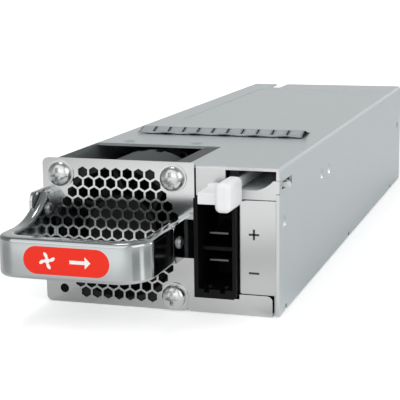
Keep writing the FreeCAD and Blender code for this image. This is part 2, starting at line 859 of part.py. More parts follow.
def stadium(name, margin, start, end):
    """A bar with round ends, seen from the front, centred on the handle's bar."""
    middle = f"({PANEL_LEFT} + size.handle_width / 2)"
    half = "(size.inlay_length / 2 - size.inlay_height / 2)"
    rise = f"(size.inlay_height / 2 + {margin})"
    outline = [
        (f"{middle} - {half}", f"size.handle_centre - {rise}"),
        (f"{middle} + {half}", f"size.handle_centre - {rise}", f"{rise} * 1.0001", "left"),
        (f"{middle} + {half}", f"size.handle_centre + {rise}"),
        (f"{middle} - {half}", f"size.handle_centre + {rise}", f"{rise} * 1.0001", "left"),
    ]
    return pad(name, "XZ", outline, start, end)


def large_screw():
    """A screw that holds the fan to the grille."""
    head = ("size.screw_head_radius", "size.screw_head_height")
    return screw("grille_screw", head, "size.screw_radius", "size.screw_length")


def small_screw(length):
    """A screw of the handle or the board."""
    head = ("size.small_head_radius", "size.small_head_height")
    return screw("small_screw", head, "size.small_radius", length)


def screw(name, head, shank, length):
    """A screw along its own Z axis, head up, with a broad bevel in place of the head's round."""
    wide, tall = head
    outline = [
        ("0", f"-({length})"),
        (shank, f"-({length})"),
        (shank, "0"),
        (wide, "0"),
        (wide, f"{tall} * 0.35"),
        (f"{wide} * 0.6", tall),
        ("0", tall),
    ]
    return turned(name, outline)


def fasteners():
    """Grille screws on three corners of the fan and the handle's cross screws."""
    screws = []
    for across, up in ((-1, 1), (1, 1), (1, -1)):
        x, z = f"{GRILLE_X} + {across} * {HOLE_HALF}", f"{GRILLE_Z} + {up} * {HOLE_HALF}"
        screws.append(stand(large_screw(), "y", x, FRONT, z, flip=True))
    name_node(group("grille_screw_set", *screws), "grille_screws")
    screws = []
    left_face = f"({PANEL_LEFT} + size.handle_arm)"
    seats = [(left_face, height) for height in LEFT_SCREWS] + [(HANDLE_RIGHT, "size.handle_centre")]
    for face, height in seats:
        screws.append(stand(small_screw("size.handle_arm"), "x", face, TAB_SCREW_Y, height))
    name_node(group("handle_screw_set", *screws), "handle_screws")


def fan():
    """Fan housing with a square front flange and a round barrel, a motor base on struts and a rotor."""
    square = rectangle(
        (f"{GRILLE_X} - {FAN_HALF}", f"{GRILLE_X} + {FAN_HALF}"),
        (f"{GRILLE_Z} - {FAN_HALF}", f"{GRILLE_Z} + {FAN_HALF}"),
    )
    flange = pad("fan_square_flange", "XZ", square, FAN_FRONT, f"{FAN_FRONT} + size.fan_flange")
    round_edges(flange, "size.panel_corner", along("y"))
    barrel = rod("fan_barrel", "y", GRILLE_X, FAN_FRONT, GRILLE_Z, FAN_HALF, "size.fan_depth")
    bore_radius = f"({FAN_HALF} - size.fan_barrel_wall)"
    bore = rod("fan_bore", "y", GRILLE_X, FAN_FRONT, GRILLE_Z, bore_radius, "size.fan_depth")
    holes = []
    for across in (-1, 1):
        for up in (-1, 1):
            holes.append(
                rod(
                    "fan_corner_hole",
                    "y",
                    f"{GRILLE_X} + {across} * {HOLE_HALF}",
                    FAN_FRONT,
                    f"{GRILLE_Z} + {up} * {HOLE_HALF}",
                    "size.screw_radius + size.running_gap",
                    "size.fan_flange",
                )
            )
        middle = f"({GRILLE_X} + {across} * size.wire_notch_offset)"
        holes.append(
            box(
                "fan_wire_notch",
                (f"{middle} - size.wire_notch_width / 2", f"{middle} + size.wire_notch_width / 2"),
                (f"{FAN_BACK} - size.wire_notch_depth", FAN_BACK),
                (GRILLE_Z, f"{GRILLE_Z} + {FAN_HALF}"),
            )
        )
    shell = cut("fan_shell", fuse("fan_shell_blank", flange, barrel), bore, *holes)
    base_front = f"({FAN_BACK} - size.fan_flange)"
    hub = "size.fan_hub_radius"
    base = rod("fan_motor_base", "y", GRILLE_X, base_front, GRILLE_Z, hub, "size.fan_flange")
    reach = f"({FAN_HALF} - size.fan_barrel_wall / 2)"
    struts = [
        box(
            "fan_strut",
            (f"{GRILLE_X} - {wide}", f"{GRILLE_X} + {wide}"),
            (base_front, f"{FAN_BACK} - size.fan_flange / 3"),
            (f"{GRILLE_Z} - {tall}", f"{GRILLE_Z} + {tall}"),
        )
        for wide, tall in ((reach, "size.fan_strut"), ("size.fan_strut", reach))
    ]
    bearing_radius = "(size.fan_shaft_radius * 2)"
    seat = rod("fan_bearing_seat", "y", GRILLE_X, base_front, GRILLE_Z, bearing_radius, "size.fan_flange")
    spider = cut("fan_spider", fuse("fan_spider_blank", base, *struts), seat)
    name_node(fuse("fan_housing", shell, spider), "fan_frame")
    sleeve = rod("fan_sleeve", "y", GRILLE_X, base_front, GRILLE_Z, bearing_radius, "size.fan_flange")
    shaft_hole = "size.fan_shaft_radius + size.running_gap"
    sleeve_bore = rod("fan_sleeve_bore", "y", GRILLE_X, base_front, GRILLE_Z, shaft_hole, "size.fan_flange")
    name_node(cut("fan_sleeve_ring", sleeve, sleeve_bore), "fan_bearing")
    fan_rotor(base_front)


def fan_rotor(base_front):
    """Hub with leaning, cambered blades trimmed round to the barrel, and the steel shaft it turns on."""
    hub_front = f"({FAN_FRONT} + size.fan_flange / 2)"
    hub_back = f"({base_front} - size.fan_blade_gap)"
    length = f"({hub_back} - {hub_front})"
    hub = [
        ("size.fan_shaft_radius", "0"),
        ("size.fan_hub_radius - size.fan_hub_round", "0", "size.fan_hub_round", "left"),
        ("size.fan_hub_radius", "size.fan_hub_round"),
        ("size.fan_hub_radius", length),
        ("size.fan_shaft_radius", length),
    ]
    body = turned("rotor", hub)
    axis = (body.Group[0], ["V_Axis"])
    tip_radius = f"({FAN_HALF} - size.fan_barrel_wall - size.fan_blade_gap)"
    outside = f"({FAN_HALF} + size.fan_blade_gap)"
    low, high = "size.fan_blade_inset", f"({length} - size.fan_blade_inset)"
    lean, half = "size.fan_blade_lean", "(size.fan_blade_thick / 2)"
    section = [
        (f"-{lean} - {half}", low),
        (f"-{lean} + {half}", low, f"{length} * 1.1", "left"),
        (f"{lean} + {half}", high),
        (f"{lean} - {half}", high, f"{length} * 1.1", "right"),
    ]
    add_pad(body, "XZ", section, "size.fan_hub_radius - size.fan_blade_root", outside)
    blade = body.Tip
    doc.recompute()
    ring = body.newObject("PartDesign::PolarPattern", "rotor_blades")
    ring.Originals = [blade]
    ring.Axis = axis
    ring.Angle = 360
    ring.Occurrences = FAN_BLADES
    body.Tip = ring
    trim = body.newObject("PartDesign::Groove", "rotor_trim")
    ring_outside = sketch_on(body, "XZ", rectangle((tip_radius, f"2 * {outside}"), ("0", length)), "0")
    trim.Profile = ring_outside
    trim.ReferenceAxis = (ring_outside, ["V_Axis"])
    trim.Angle = 360
    stand(body, "y", GRILLE_X, hub_front, GRILLE_Z)
    name_node(body, "fan_rotor")
    shaft_length = f"{FAN_BACK} - {hub_front}"
    shaft = rod("shaft", "y", GRILLE_X, hub_front, GRILLE_Z, "size.fan_shaft_radius", shaft_length)
    name_node(shaft, "fan_shaft")


def fan_partition():
    """Upright sheet between the fan and the inlet, with a lip over the fan and a foot on the tray."""
    near = f"({GRILLE_X} + {FAN_HALF} + 2 * size.fit)"
    far = f"({near} + size.partition_thick)"
    roof = f"({GRILLE_Z} + {FAN_HALF} + size.running_gap)"
    section = [
        (near, "size.wall"),
        (f"{far} + size.partition_lip", "size.wall"),
        (f"{far} + size.partition_lip", "size.wall + size.partition_thick"),
        (far, "size.wall + size.partition_thick"),
        (far, f"{roof} + size.partition_thick"),
        (f"{far} - size.partition_lip", f"{roof} + size.partition_thick"),
        (f"{far} - size.partition_lip", roof),
        (near, roof),
    ]
    end = f"{FRONT} + size.opening_depth - size.wall"
    name_node(pad("partition", "XZ", section, f"{PANEL_BACK} + size.fit", end), "fan_partition")
    light_x, light_z = f"{GRILLE_X} - {HOLE_HALF}", f"{GRILLE_Z} - {HOLE_HALF}"
    start = f"{FRONT} - size.fit * 2"
    pipe = rod("light_pipe", "y", light_x, start, light_z, "size.light_radius", "size.light_length")
    name_node(pipe, "status_light")


def inlet():
    """Two-way inlet socket, its flat blades and the label plate that carries it."""
    body = pad(
        "inlet_shell",
        "XZ",
        rectangle((INLET_LEFT, INLET_RIGHT), ("size.inlet_bottom", INLET_TOP)),
        INLET_FRONT,
        INLET_BACK,
    )
    round_edges(body, "size.inlet_chamfer", along("y", x=INLET_RIGHT, z="size.inlet_bottom"), kind="Chamfer")
    cavity = (f"{INLET_LEFT} + size.inlet_side_wall", f"{INLET_RIGHT} - size.inlet_thick_wall")
    floor = "(size.inlet_bottom + size.inlet_floor)"
    roof = f"({INLET_TOP} - size.inlet_roof)"
    mouth = f"{INLET_FRONT} + size.inlet_middle_sink"
    end = f"{INLET_FRONT} + size.inlet_cavity_depth"
    pocket(body, "XZ", rectangle(cavity, (floor, roof)), INLET_FRONT, mouth)
    low = (floor, "size.inlet_middle_height - size.inlet_middle / 2")
    high = ("size.inlet_middle_height + size.inlet_middle / 2", roof)
    for span in (low, high):
        pocket(body, "XZ", rectangle(cavity, span), mouth, end)
    for k in range(2):
        left = f"({cavity[0]} + size.key_slot_first + {k} * size.key_slot_pitch)"
        slot = rectangle((left, f"{left} + size.key_slot_width"), (f"{floor} - size.key_slot_depth", roof))
        pocket(body, "XZ", slot, INLET_FRONT, mouth)
    ear = rectangle(
        (f"{INLET_RIGHT} - size.inlet_thick_wall / 2", f"({PLATE_LEFT} + {IN_RIGHT}) / 2"),
        ("size.inlet_bottom + size.inlet_ear_inset", f"{INLET_TOP} - size.inlet_ear_inset"),
    )
    add_pad(body, "XZ", ear, PLATE_BACK, f"{PLATE_BACK} + size.inlet_ear")
    middle = f"(({cavity[0]} + {cavity[1]}) / 2)"
    gap = "size.running_gap"
    blades = []
    slots = []
    tails = (("size.blade_high", "size.blade_high_tail"), ("size.blade_low", "size.blade_low_tail"))
    for height, tail in tails:
        leg = f"({INLET_BACK} + {tail})"
        section = [
            (f"{INLET_FRONT} + size.blade_sink", f"{height} - size.blade_thick / 2"),
            (f"{leg} - size.blade_thick", f"{height} - size.blade_thick / 2"),
            (f"{leg} - size.blade_thick", BOARD_TOP),
            (leg, BOARD_TOP),
            (leg, f"{height} + size.blade_thick / 2"),
            (f"{INLET_FRONT} + size.blade_sink", f"{height} + size.blade_thick / 2"),
        ]
        half = "size.blade_width / 2"
        blades.append(pad("inlet_blade", "YZ", section, f"{middle} - {half}", f"{middle} + {half}"))
        slots.append(
            box(
                "inlet_blade_slot",
                (f"{middle} - {half} - {gap}", f"{middle} + {half} + {gap}"),
                (f"{INLET_FRONT} + size.inlet_cavity_depth", INLET_BACK),
                (f"{height} - size.blade_thick / 2 - {gap}", f"{height} + size.blade_thick / 2 + {gap}"),
            )
        )
    name_node(cut("inlet_socket", body, *slots), "inlet_housing")
    name_node(group("inlet_blade_pair", *blades), "inlet_blades")
    plate_low = "(size.strip_height + 1.5 * size.fit)"
    plate_high = f"({SHELF} - size.shelf_lip - 1.5 * size.fit)"
    face = rectangle((PLATE_LEFT, IN_RIGHT), (plate_low, plate_high))
    plate = pad("inlet_plate", "XZ", face, PLATE_FRONT, PLATE_BACK)
    round_edges(plate, "size.wall", along("y", x=PLATE_LEFT, z=plate_low))
    flange = box(
        "inlet_plate_flange",
        (f"{IN_RIGHT} - size.wall", IN_RIGHT),
        (PLATE_BACK, f"{PLATE_BACK} + size.plate_flange"),
        ("size.tray_flange + size.wall", plate_high),
    )
    name_node(fuse("inlet_plate_folded", plate, flange), "inlet_plate")


def latch():
    """Latch bay shelf, hinged lever with its tooth, the arm that carries the thumb tab, and the pin."""
    side = IN_RIGHT
    low = f"({SHELF} - size.shelf_lip)"
    ear = f"({SHELF} + size.shelf_ear)"
    lip_outline = [
        (PLATE_LEFT, low),
        (side, low),
        (side, f"{SHELF} - size.wall"),
        (f"{RIGHT} - size.fit", f"{SHELF} - size.wall"),
        (f"{RIGHT} - size.fit", ear),
        (f"{side} - size.wall", ear, "size.ear_sweep", "right"),
        (f"{side} - size.ear_run", SHELF),
        (PLATE_LEFT, SHELF),
    ]
    lip = pad("shelf_lip", "XZ", lip_outline, PLATE_FRONT, PLATE_BACK)
    deck = box(
        "shelf_deck",
        (f"{FLAP_RIGHT} + size.slit", side),
        (PLATE_BACK, f"{PLATE_BACK} + size.shelf_depth"),
        (f"{SHELF} - size.wall", SHELF),
    )
    hem = box(
        "shelf_hem",
        (f"{side} - size.wall", side),
        (f"{PLATE_BACK} + size.shelf_hem_start", f"{PLATE_BACK} + size.shelf_depth"),
        (f"{SHELF} - size.shelf_hem", SHELF),
    )
    name_node(fuse("shelf", lip, deck, hem), "latch_shelf")

    pivot_x = f"({IN_RIGHT} - size.latch_pivot_inset)"
    pivot_y = f"({FRONT} + size.latch_pivot_depth)"
    high = LATCH_TOP
    tall = f"({LATCH_TOP} - {LATCH_Z})"
    outer = f"({pivot_x} + size.latch_eye_radius)"
    inner = f"({outer} - size.latch_strip)"
    tip = f"({RIGHT} + size.tooth_reach)"
    strip = [
        (outer, pivot_y),
        (outer, TOOTH_REAR),
        (tip, f"{TOOTH_FRONT} + size.tooth_flat"),
        (tip, TOOTH_FRONT),
        (inner, TOOTH_FRONT),
        (inner, f"{TOOTH_FRONT} + size.latch_strip"),
        (f"{tip} - size.latch_strip", f"{TOOTH_FRONT} + size.latch_strip"),
        (inner, f"{TOOTH_REAR} - 2 * size.fit"),
        (inner, pivot_y),
    ]
    lever = pad("latch_strip", "XY", strip, LATCH_Z, high)
    past_tip = f"({tip} + size.wall)"
    over_tooth = rectangle((f"{inner} - size.wall", past_tip), (FRONT, f"{TOOTH_REAR} + size.slot_margin"))
    pocket(lever, "XY", over_tooth, TOOTH_TOP, high)
    eye = rod("latch_eye", "z", pivot_x, pivot_y, LATCH_Z, "size.latch_eye_radius", tall)
    eye_bore = rod(
        "latch_eye_bore",
        "z",
        pivot_x,
        pivot_y,
        LATCH_Z,
        "size.latch_pin_radius + size.running_gap",
        tall,
    )
    name_node(cut("latch_lever_eyed", fuse("latch_lever_blank", lever, eye), eye_bore), "latch_lever")

    tab_right = f"({PLATE_LEFT} + size.tab_overhang)"
    tab_left = f"({tab_right} - size.tab_width)"
    tab_back = f"({INLET_FRONT} - size.tab_gap)"
    tab_front = f"({tab_back} - size.tab_length)"
    arm_out = f"({tab_right} - size.arm_inset)"
    arm_in = f"({arm_out} - size.latch_strip)"
    cross = f"({FRONT} + size.arm_cross)"
    arm_end = f"({tab_front} + size.arm_cover)"
    arm_low, arm_high = f"({LATCH_Z} + size.arm_rise)", f"({high} - size.arm_drop)"
    arm = [
        (arm_in, arm_end),
        (arm_out, arm_end),
        (arm_out, cross),
        (inner, cross),
        (inner, f"{cross} + size.arm_overlap"),
        (f"{inner} - size.latch_strip", f"{cross} + size.arm_overlap"),
        (f"{inner} - size.latch_strip", f"{cross} + size.latch_strip"),
        (arm_in, f"{cross} + size.latch_strip"),
    ]
    name_node(pad("latch_arm_strip", "XY", arm, arm_low, arm_high), "latch_arm")

    tab_low = f"({SHELF} - size.tab_drop)"
    tab_top = f"({tab_low} + size.tab_height)"
    body = pad("tab_block", "XZ", rectangle((tab_left, tab_right), (tab_low, tab_top)), tab_front, tab_back)
    round_edges(body, "size.tab_round", along("y"))
    stub_low = f"({tab_low} + size.stub_rise)"
    stub_high = f"({stub_low} + size.stub_height)"
    stub_left, stub_right = f"({tab_left} - size.stub_width)", f"({tab_left} + size.stub_root)"
    stub = rectangle((stub_left, stub_right), (stub_low, stub_high))
    add_pad(body, "XZ", stub, f"{tab_front} + size.stub_setback", tab_back)
    lip = rectangle(
        (f"{stub_left} + size.stub_lip_inset", stub_right),
        (f"{stub_high} - size.stub_root", f"{stub_high} + size.stub_lip_height"),
    )
    add_pad(body, "XZ", lip, f"{tab_back} - size.stub_lip_depth", tab_back)
    front_y = number(tab_front)
    round_edges(body, "size.tab_edge", lambda edge: abs(edge.CenterOfMass.y - front_y) < 0.01)
    gap = "size.running_gap"
    slot = box(
        "tab_slot",
        (f"{arm_in} - {gap}", f"{arm_out} + {gap}"),
        (f"{arm_end} - {gap}", tab_back),
        (f"{arm_low} - {gap}", f"{arm_high} + {gap}"),
    )
    name_node(cut("tab_body", body, slot), "latch_tab")

    plate = box(
        "latch_bracket_plate",
        (f"{side} - size.wall", side),
        (f"{pivot_y} - size.bracket_half", f"{pivot_y} + size.bracket_length"),
        (f"{IN_TOP} - size.bracket_drop", f"{IN_TOP} - 2 * size.fit"),
    )
    spring_height = (f"{LATCH_Z} + size.spring_inset", f"{LATCH_TOP} - size.spring_inset")
    spring = box(
        "latch_bracket_spring",
        (f"{outer} + size.fit", f"{outer} + size.fit + size.spring_sheet"),
        (f"{pivot_y} - size.spring_length", f"{pivot_y} - size.bracket_half"),
        spring_height,
    )
    root = box(
        "latch_bracket_root",
        (f"{outer} + size.fit", side),
        (f"{pivot_y} - size.bracket_half - size.wall", f"{pivot_y} - size.bracket_half"),
        spring_height,
    )
    ears = [
        box(
            "latch_bracket_ear",
            (f"{pivot_x} - size.latch_eye_radius", side),
            (f"{pivot_y} - size.bracket_half", f"{pivot_y} + size.bracket_half"),
            span,
        )
        for span in (
            (f"{LATCH_Z} - size.latch_lift - size.wall", f"{LATCH_Z} - size.fit"),
            (f"{high} + size.fit", f"{IN_TOP} - 2 * size.fit"),
        )
    ]
    pin_low = f"({LATCH_Z} - size.latch_lift - size.wall)"
    pin_high = f"({IN_TOP} - 2 * size.fit)"
    bore = rod(
        "latch_bracket_bore",
        "z",
        pivot_x,
        pivot_y,
        pin_low,
        "size.latch_pin_radius + size.running_gap",
        f"{pin_high} - {pin_low}",
    )
    eye_room = rod(
        "latch_bracket_room",
        "z",
        pivot_x,
        pivot_y,
        f"{LATCH_Z} - size.fit",
        "size.latch_eye_radius + size.eye_room",
        f"{tall} + 2 * size.fit",
    )
    blank = fuse("latch_bracket_blank", plate, spring, root, *ears)
    name_node(cut("latch_bracket_folded", blank, bore, eye_room), "latch_bracket")
    pin = rod("pin", "z", pivot_x, pivot_y, pin_low, "size.latch_pin_radius", f"{pin_high} - {pin_low}")
    name_node(pin, "latch_pin")


def finger_strip():
    """Tent-shaped strip of spring fingers on the cover, slit from the crest towards the front lip."""
    start = f"({FRONT} + size.finger_start)"
    crest = f"({start} + size.finger_ramp)"
    fall = f"({crest} + size.finger_fall)"
    foot = f"({fall} + size.finger_foot)"
    lift = f"({TOP} + size.finger_sheet)"
    peak = f"({TOP} + size.finger_rise)"
    sheet = "size.finger_sheet"
    section = [
        (start, f"{lift} - size.finger_toe"),
        (f"{start} + size.finger_lip", f"{lift} - size.finger_toe / 2"),
        (crest, f"{peak} - {sheet}"),
        (f"{fall} - {sheet}", TOP),
        (foot, TOP),
        (foot, lift),
        (fall, lift),
        (f"{crest} + {sheet}", peak),
        (f"{crest} - {sheet}", peak),
        (f"{start} + size.finger_lip", f"{lift} + {sheet}"),
        (start, f"{lift} + {sheet} - size.finger_toe"),
    ]
    left = "(-size.finger_span / 2 - size.finger_offset)"
    strip = pad("finger_sheet_body", "YZ", section, left, f"{left} + size.finger_span")
    slits = [
        box(
            "finger_slit",
            (
                f"{left} + {k} * size.finger_span / {FINGERS} - size.finger_slit / 2",
                f"{left} + {k} * size.finger_span / {FINGERS} + size.finger_slit / 2",
            ),
            (f"{start} + 0.35 * size.finger_ramp", f"{fall} - 2 * {sheet}"),
            (f"{TOP} + {sheet} / 10", f"{peak} + {sheet}"),
        )
        for k in range(1, FINGERS)
    ]
    name_node(cut("finger_strip_slit", strip, *slits), "finger_strip")


def rear_panel():
    """Upright rear sheet on a foot turned inwards, with vents and a slot for the board's tongue."""
    half = f"({TRAY_INNER} - size.fit)"
    outline = rectangle((f"-{half}", half), ("size.wall", f"{IN_TOP} - size.fit"))
    sheet = pad("rear_sheet", "XZ", outline, REAR_PANEL, f"{REAR_PANEL} + size.wall")
    foot = box(
        "rear_foot",
        (f"-{half} + size.rear_foot_inset", f"{half} - size.rear_foot_inset"),
        (f"{REAR_PANEL} - size.rear_foot", REAR_PANEL),
        ("size.wall", "2 * size.wall"),
    )
    slot = box(
        "rear_slot",
        ("-size.tongue_left - size.rear_slot_gap", "size.tongue_right + size.rear_slot_gap"),
        (REAR_PANEL, f"{REAR_PANEL} + size.wall"),
        (f"{BOARD_Z} - size.rear_slot_gap", f"{BOARD_TOP} + size.rear_slot_gap"),
    )
    rows = [VENT_COLUMNS - k % 2 for k in range(VENT_LINES)]
    vents = honeycomb(
        "rear_vents",
        rows,
        ("0", f"({BOARD_TOP} + {IN_TOP}) / 2"),
        ("1.5 * size.hex_pitch", "1.5 * size.hex_across"),
        (REAR_PANEL, "size.wall"),
    )
    name_node(cut("rear_wall", fuse("rear_blank", sheet, foot), slot, vents), "rear_panel")


def main_board():
    """Circuit board with a rear tongue of contacts, its standoffs, screws and insulating sheet."""
    rear = f"({REAR_PANEL} - size.board_end_gap)"
    tip = f"({REAR} - size.tongue_short)"
    split = f"({PANEL_RIGHT} - size.board_end_gap)"
    beside_inlet = f"({INLET_BACK} + size.board_end_gap)"
    outline = [
        (f"-{BOARD_HALF}", BOARD_FRONT),
        (split, BOARD_FRONT),
        (split, beside_inlet),
        (BOARD_HALF, beside_inlet),
        (BOARD_HALF, rear),
        ("size.tongue_right", rear),
        ("size.tongue_right", tip),
        ("-size.tongue_left", tip),
        ("-size.tongue_left", rear),
        (f"-{BOARD_HALF}", rear),
    ]
    blank = pad("board_blank", "XY", outline, BOARD_Z, BOARD_TOP)
    screw_hole = "size.small_radius + size.running_gap"
    holes, posts, screws, sheet_holes = [], [], [], []
    for side, share in [(side, share) for share in STANDOFF_ROWS for side in (-1, 1)]:
        x, y = f"{side} * ({BOARD_HALF} - size.standoff_inset)", along_board(share)
        holes.append(rod("board_hole", "z", x, y, BOARD_Z, screw_hole, "size.board_thick"))
        post = rod("standoff_post", "z", x, y, "size.wall", "size.standoff_radius", "size.standoff_height")
        thread = rod("standoff_bore", "z", x, y, "size.wall", screw_hole, "size.standoff_height")
        posts.append(cut("standoff", post, thread))
        sheet_hole = "size.standoff_radius + 2 * size.fit"
        sheet_holes.append(rod("film_hole", "z", x, y, "size.wall", sheet_hole, "3 * size.fit"))
        screws.append(stand(small_screw("size.standoff_height"), "z", x, y, BOARD_TOP))
    name_node(cut("board", blank, *holes), "main_board")
    name_node(group("standoff_set", *posts), "board_standoffs")
    name_node(group("board_screw_set", *screws), "board_screws")
    film = box(
        "film",
        (f"-{BOARD_HALF}", BOARD_HALF),
        (BOARD_FRONT, f"{REAR_PANEL} - size.rear_foot - size.board_end_gap"),
        ("size.wall", "size.wall + 3 * size.fit"),
    )
    name_node(cut("film_sheet", film, *sheet_holes), "insulating_sheet")
    contacts = []
    contact_end = f"({tip} - size.contact_inset)"
    middle = "((size.tongue_right - size.tongue_left) / 2)"
    for k in range(CONTACTS):
        x = f"({middle} + ({k} - {(CONTACTS - 1) / 2}) * size.contact_pitch)"
        for low in (BOARD_TOP, f"({BOARD_Z} - size.contact_thick)"):
            contacts.append(
                box(
                    "contact",
                    (f"{x} - size.contact_width / 2", f"{x} + size.contact_width / 2"),
                    (f"{contact_end} - size.contact_length", contact_end),
                    (low, f"{low} + size.contact_thick"),
                )
            )
    name_node(group("contact_rows", *contacts), "output_contacts")


def across_board(share):
    """A place across the board, as a share of its half width."""
    return f"({share} * {BOARD_HALF})"


def along_board(share):
    """A place along the board, as a share of its length from the fan to the rear sheet."""
    return f"({BOARD_FRONT} + {share} * {BOARD_LENGTH})"


def footprint(across, along_it):
    """The sides of a component's footprint from two pairs of shares."""
    return [across_board(share) for share in across], [along_board(share) for share in along_it]


def standing(name, across, along_it, height, lift="0"):
    """A block on the board over a footprint."""
    x, y = footprint(across, along_it)
    return box(name, x, y, (f"{BOARD_TOP} + {lift}", f"{BOARD_TOP} + {lift} + {height}"))


def can(name, across, along_it, radius, height):
    """An upright can capacitor with a bevelled top edge."""
    rolled = "size.can_roll"
    outline = [
        ("0", "0"),
        (radius, "0"),
        (radius, f"{height} - {rolled}"),
        (f"{radius} - {rolled}", height),
        ("0", height),
    ]
    return stand(turned(name, outline), "z", across_board(across), along_board(along_it), BOARD_TOP)


def heat_sink(name, wall_share, fin_share, along_it):
    """An extruded sink: an upright wall with level fins on one side, run along the board."""
    (wall, tip), (start, end) = footprint((wall_share, fin_share), along_it)
    outward = "" if fin_share > wall_share else "-"
    face = f"({wall} + {outward}size.sink_wall)"
    top = f"({BOARD_TOP} + size.sink_height)"
    pitch = f"(size.sink_height / {FINS})"
    outline = [(wall, top), (wall, BOARD_TOP), (face, BOARD_TOP)]
    for k in range(FINS):
        low = f"({BOARD_TOP} + {k + 0.6} * {pitch})"
        high = f"({low} + size.sink_fin)"
        outline += [(face, low), (tip, low), (tip, high), (face, high)]
    outline.append((face, top))
    return pad(name, "XZ", outline, start, end)


def power_blocks(name, wall_share, away_share, along_it):
    """Flat power packages in a row against the wall of a heat sink."""
    step = (along_it[1] - along_it[0]) / SWITCHES
    spots = [(along_it[0] + (k + 0.12) * step, along_it[0] + (k + 0.88) * step) for k in range(SWITCHES)]
    span = sorted((wall_share, away_share))
    return [standing(name, span, spot, "size.package_height", "size.package_lift") for spot in spots]


def transformer(across, along_it):
    """A double-window ferrite core with a wound coil round its middle limb."""
    (left, right), (start, end) = footprint(across, along_it)
    low, high = BOARD_TOP, f"({BOARD_TOP} + size.core_height)"
    yoke = "size.core_yoke"
    wide = f"({right} - {left})"
    core = pad("core_block", "XZ", rectangle((left, right), (low, high)), start, end)
    windows = ((0.11, 0.36), (0.64, 0.89))
    for near, far in windows:
        window = (f"{left} + {near} * {wide}", f"{left} + {far} * {wide}")
        pocket(core, "XZ", rectangle(window, (f"{low} + {yoke}", f"{high} - {yoke}")), start, end)
    name_node(core, "transformer_core")
    overhang = "size.coil_overhang"
    outer = (f"{left} + 0.13 * {wide}", f"{left} + 0.87 * {wide}")
    inner = (f"{left} + 0.35 * {wide}", f"{left} + 0.65 * {wide}")
    bottom, top = f"{low} + {yoke}", f"{high} - {yoke}"
    around = rectangle(outer, (f"{start} - {overhang}", f"{end} + {overhang}"))
    coil = pad("coil_block", "XY", around, bottom, top)
    round_edges(coil, "size.coil_round", along("z"))
    pocket(coil, "XY", rectangle(inner, (f"{start} - size.fit", f"{end} + size.fit")), bottom, top)
    name_node(coil, "transformer_winding")


def board_components():
    """The parts that make the conversion: filter, storage, switching, transformer, output and control."""
    bulk = [can("bulk_can", -0.64, share, "size.bulk_radius", "size.bulk_height") for share in (0.11, 0.25)]
    name_node(group("bulk_set", *bulk), "bulk_capacitors")
    cans = []
    for k in range(OUTPUT_CANS):
        across = -0.7 + 0.29 * k
        cans.append(can("output_can", across, 0.9, "size.output_radius", "size.output_height"))
    name_node(group("output_set", *cans), "output_capacitors")
    inner, outer = "size.choke_bore", "size.choke_radius"
    tall, bevel = "size.choke_height", "size.choke_round"
    ring = [
        (inner, "0"),
        (f"{outer} - {bevel}", "0"),
        (outer, bevel),
        (outer, f"{tall} - {bevel}"),
        (f"{outer} - {bevel}", tall),
        (inner, tall),
    ]
    choke = stand(turned("choke_ring", ring), "z", across_board(0.48), along_board(0.1), BOARD_TOP)
    name_node(choke, "input_choke")
    name_node(heat_sink("primary_sink", -0.034, 0.33, (0.2, 0.46)), "primary_heatsink")
    name_node(heat_sink("output_sink", 0.74, 0.37, (0.54, 0.8)), "output_heatsink")
    switches = power_blocks("switch_block", -0.034, -0.18, (0.21, 0.45))
    name_node(group("switch_set", *switches), "power_transistors")
    rectifiers = power_blocks("rectifier_block", 0.74, 0.89, (0.55, 0.79))
    name_node(group("rectifier_set", *rectifiers), "output_rectifiers")
    transformer((-0.97, -0.21), (0.36, 0.495))
    (left, right), (start, end) = footprint((-0.9, -0.24), (0.6, 0.72))
    top = f"{BOARD_TOP} + size.inductor_height"
    block = pad("inductor_block", "XY", rectangle((left, right), (start, end)), BOARD_TOP, top)
    round_edges(block, "size.coil_round", along("z"))
    name_node(block, "output_inductor")
    card = standing("control_card", (0.93, 0.97), (0.24, 0.46), "size.card_height")
    name_node(card, "control_board")
    name_node(standing("fan_plug", (-0.28, -0.04), (0.02, 0.06), "size.plug_height"), "fan_socket")
    name_node(standing("fuse_block", (0.54, 0.74), (0.2, 0.33), "size.plug_height"), "input_fuse")


chassis_tray()
top_cover()
front_panel()
pull_handle()
fasteners()
fan()
fan_partition()
inlet()
latch()
finger_strip()
rear_panel()
main_board()
board_components()
doc.recompute()

for item in doc.Objects:
    if "Invalid" in item.State or "Error" in item.State:
        raise ValueError(f"{item.Name} did not build: {item.State}")
os.makedirs("parts", exist_ok=True)
for label, item in nodes.items():
    if item.Shape.isNull() or not item.Shape.isValid():
        raise ValueError(f"{label} has no valid shape")
for label, item in nodes.items():
    item.Shape.exportStep(os.path.join("parts", label + ".step"))
print(len(nodes), "sub-parts")
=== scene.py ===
"""Looks of a plug-in power supply module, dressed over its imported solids.

Metres, in the part's own frame: X to the right, Y from front to rear, Z up.
"""

import math

import bmesh
import bpy
import numpy as np
from mathutils import Matrix, Vector


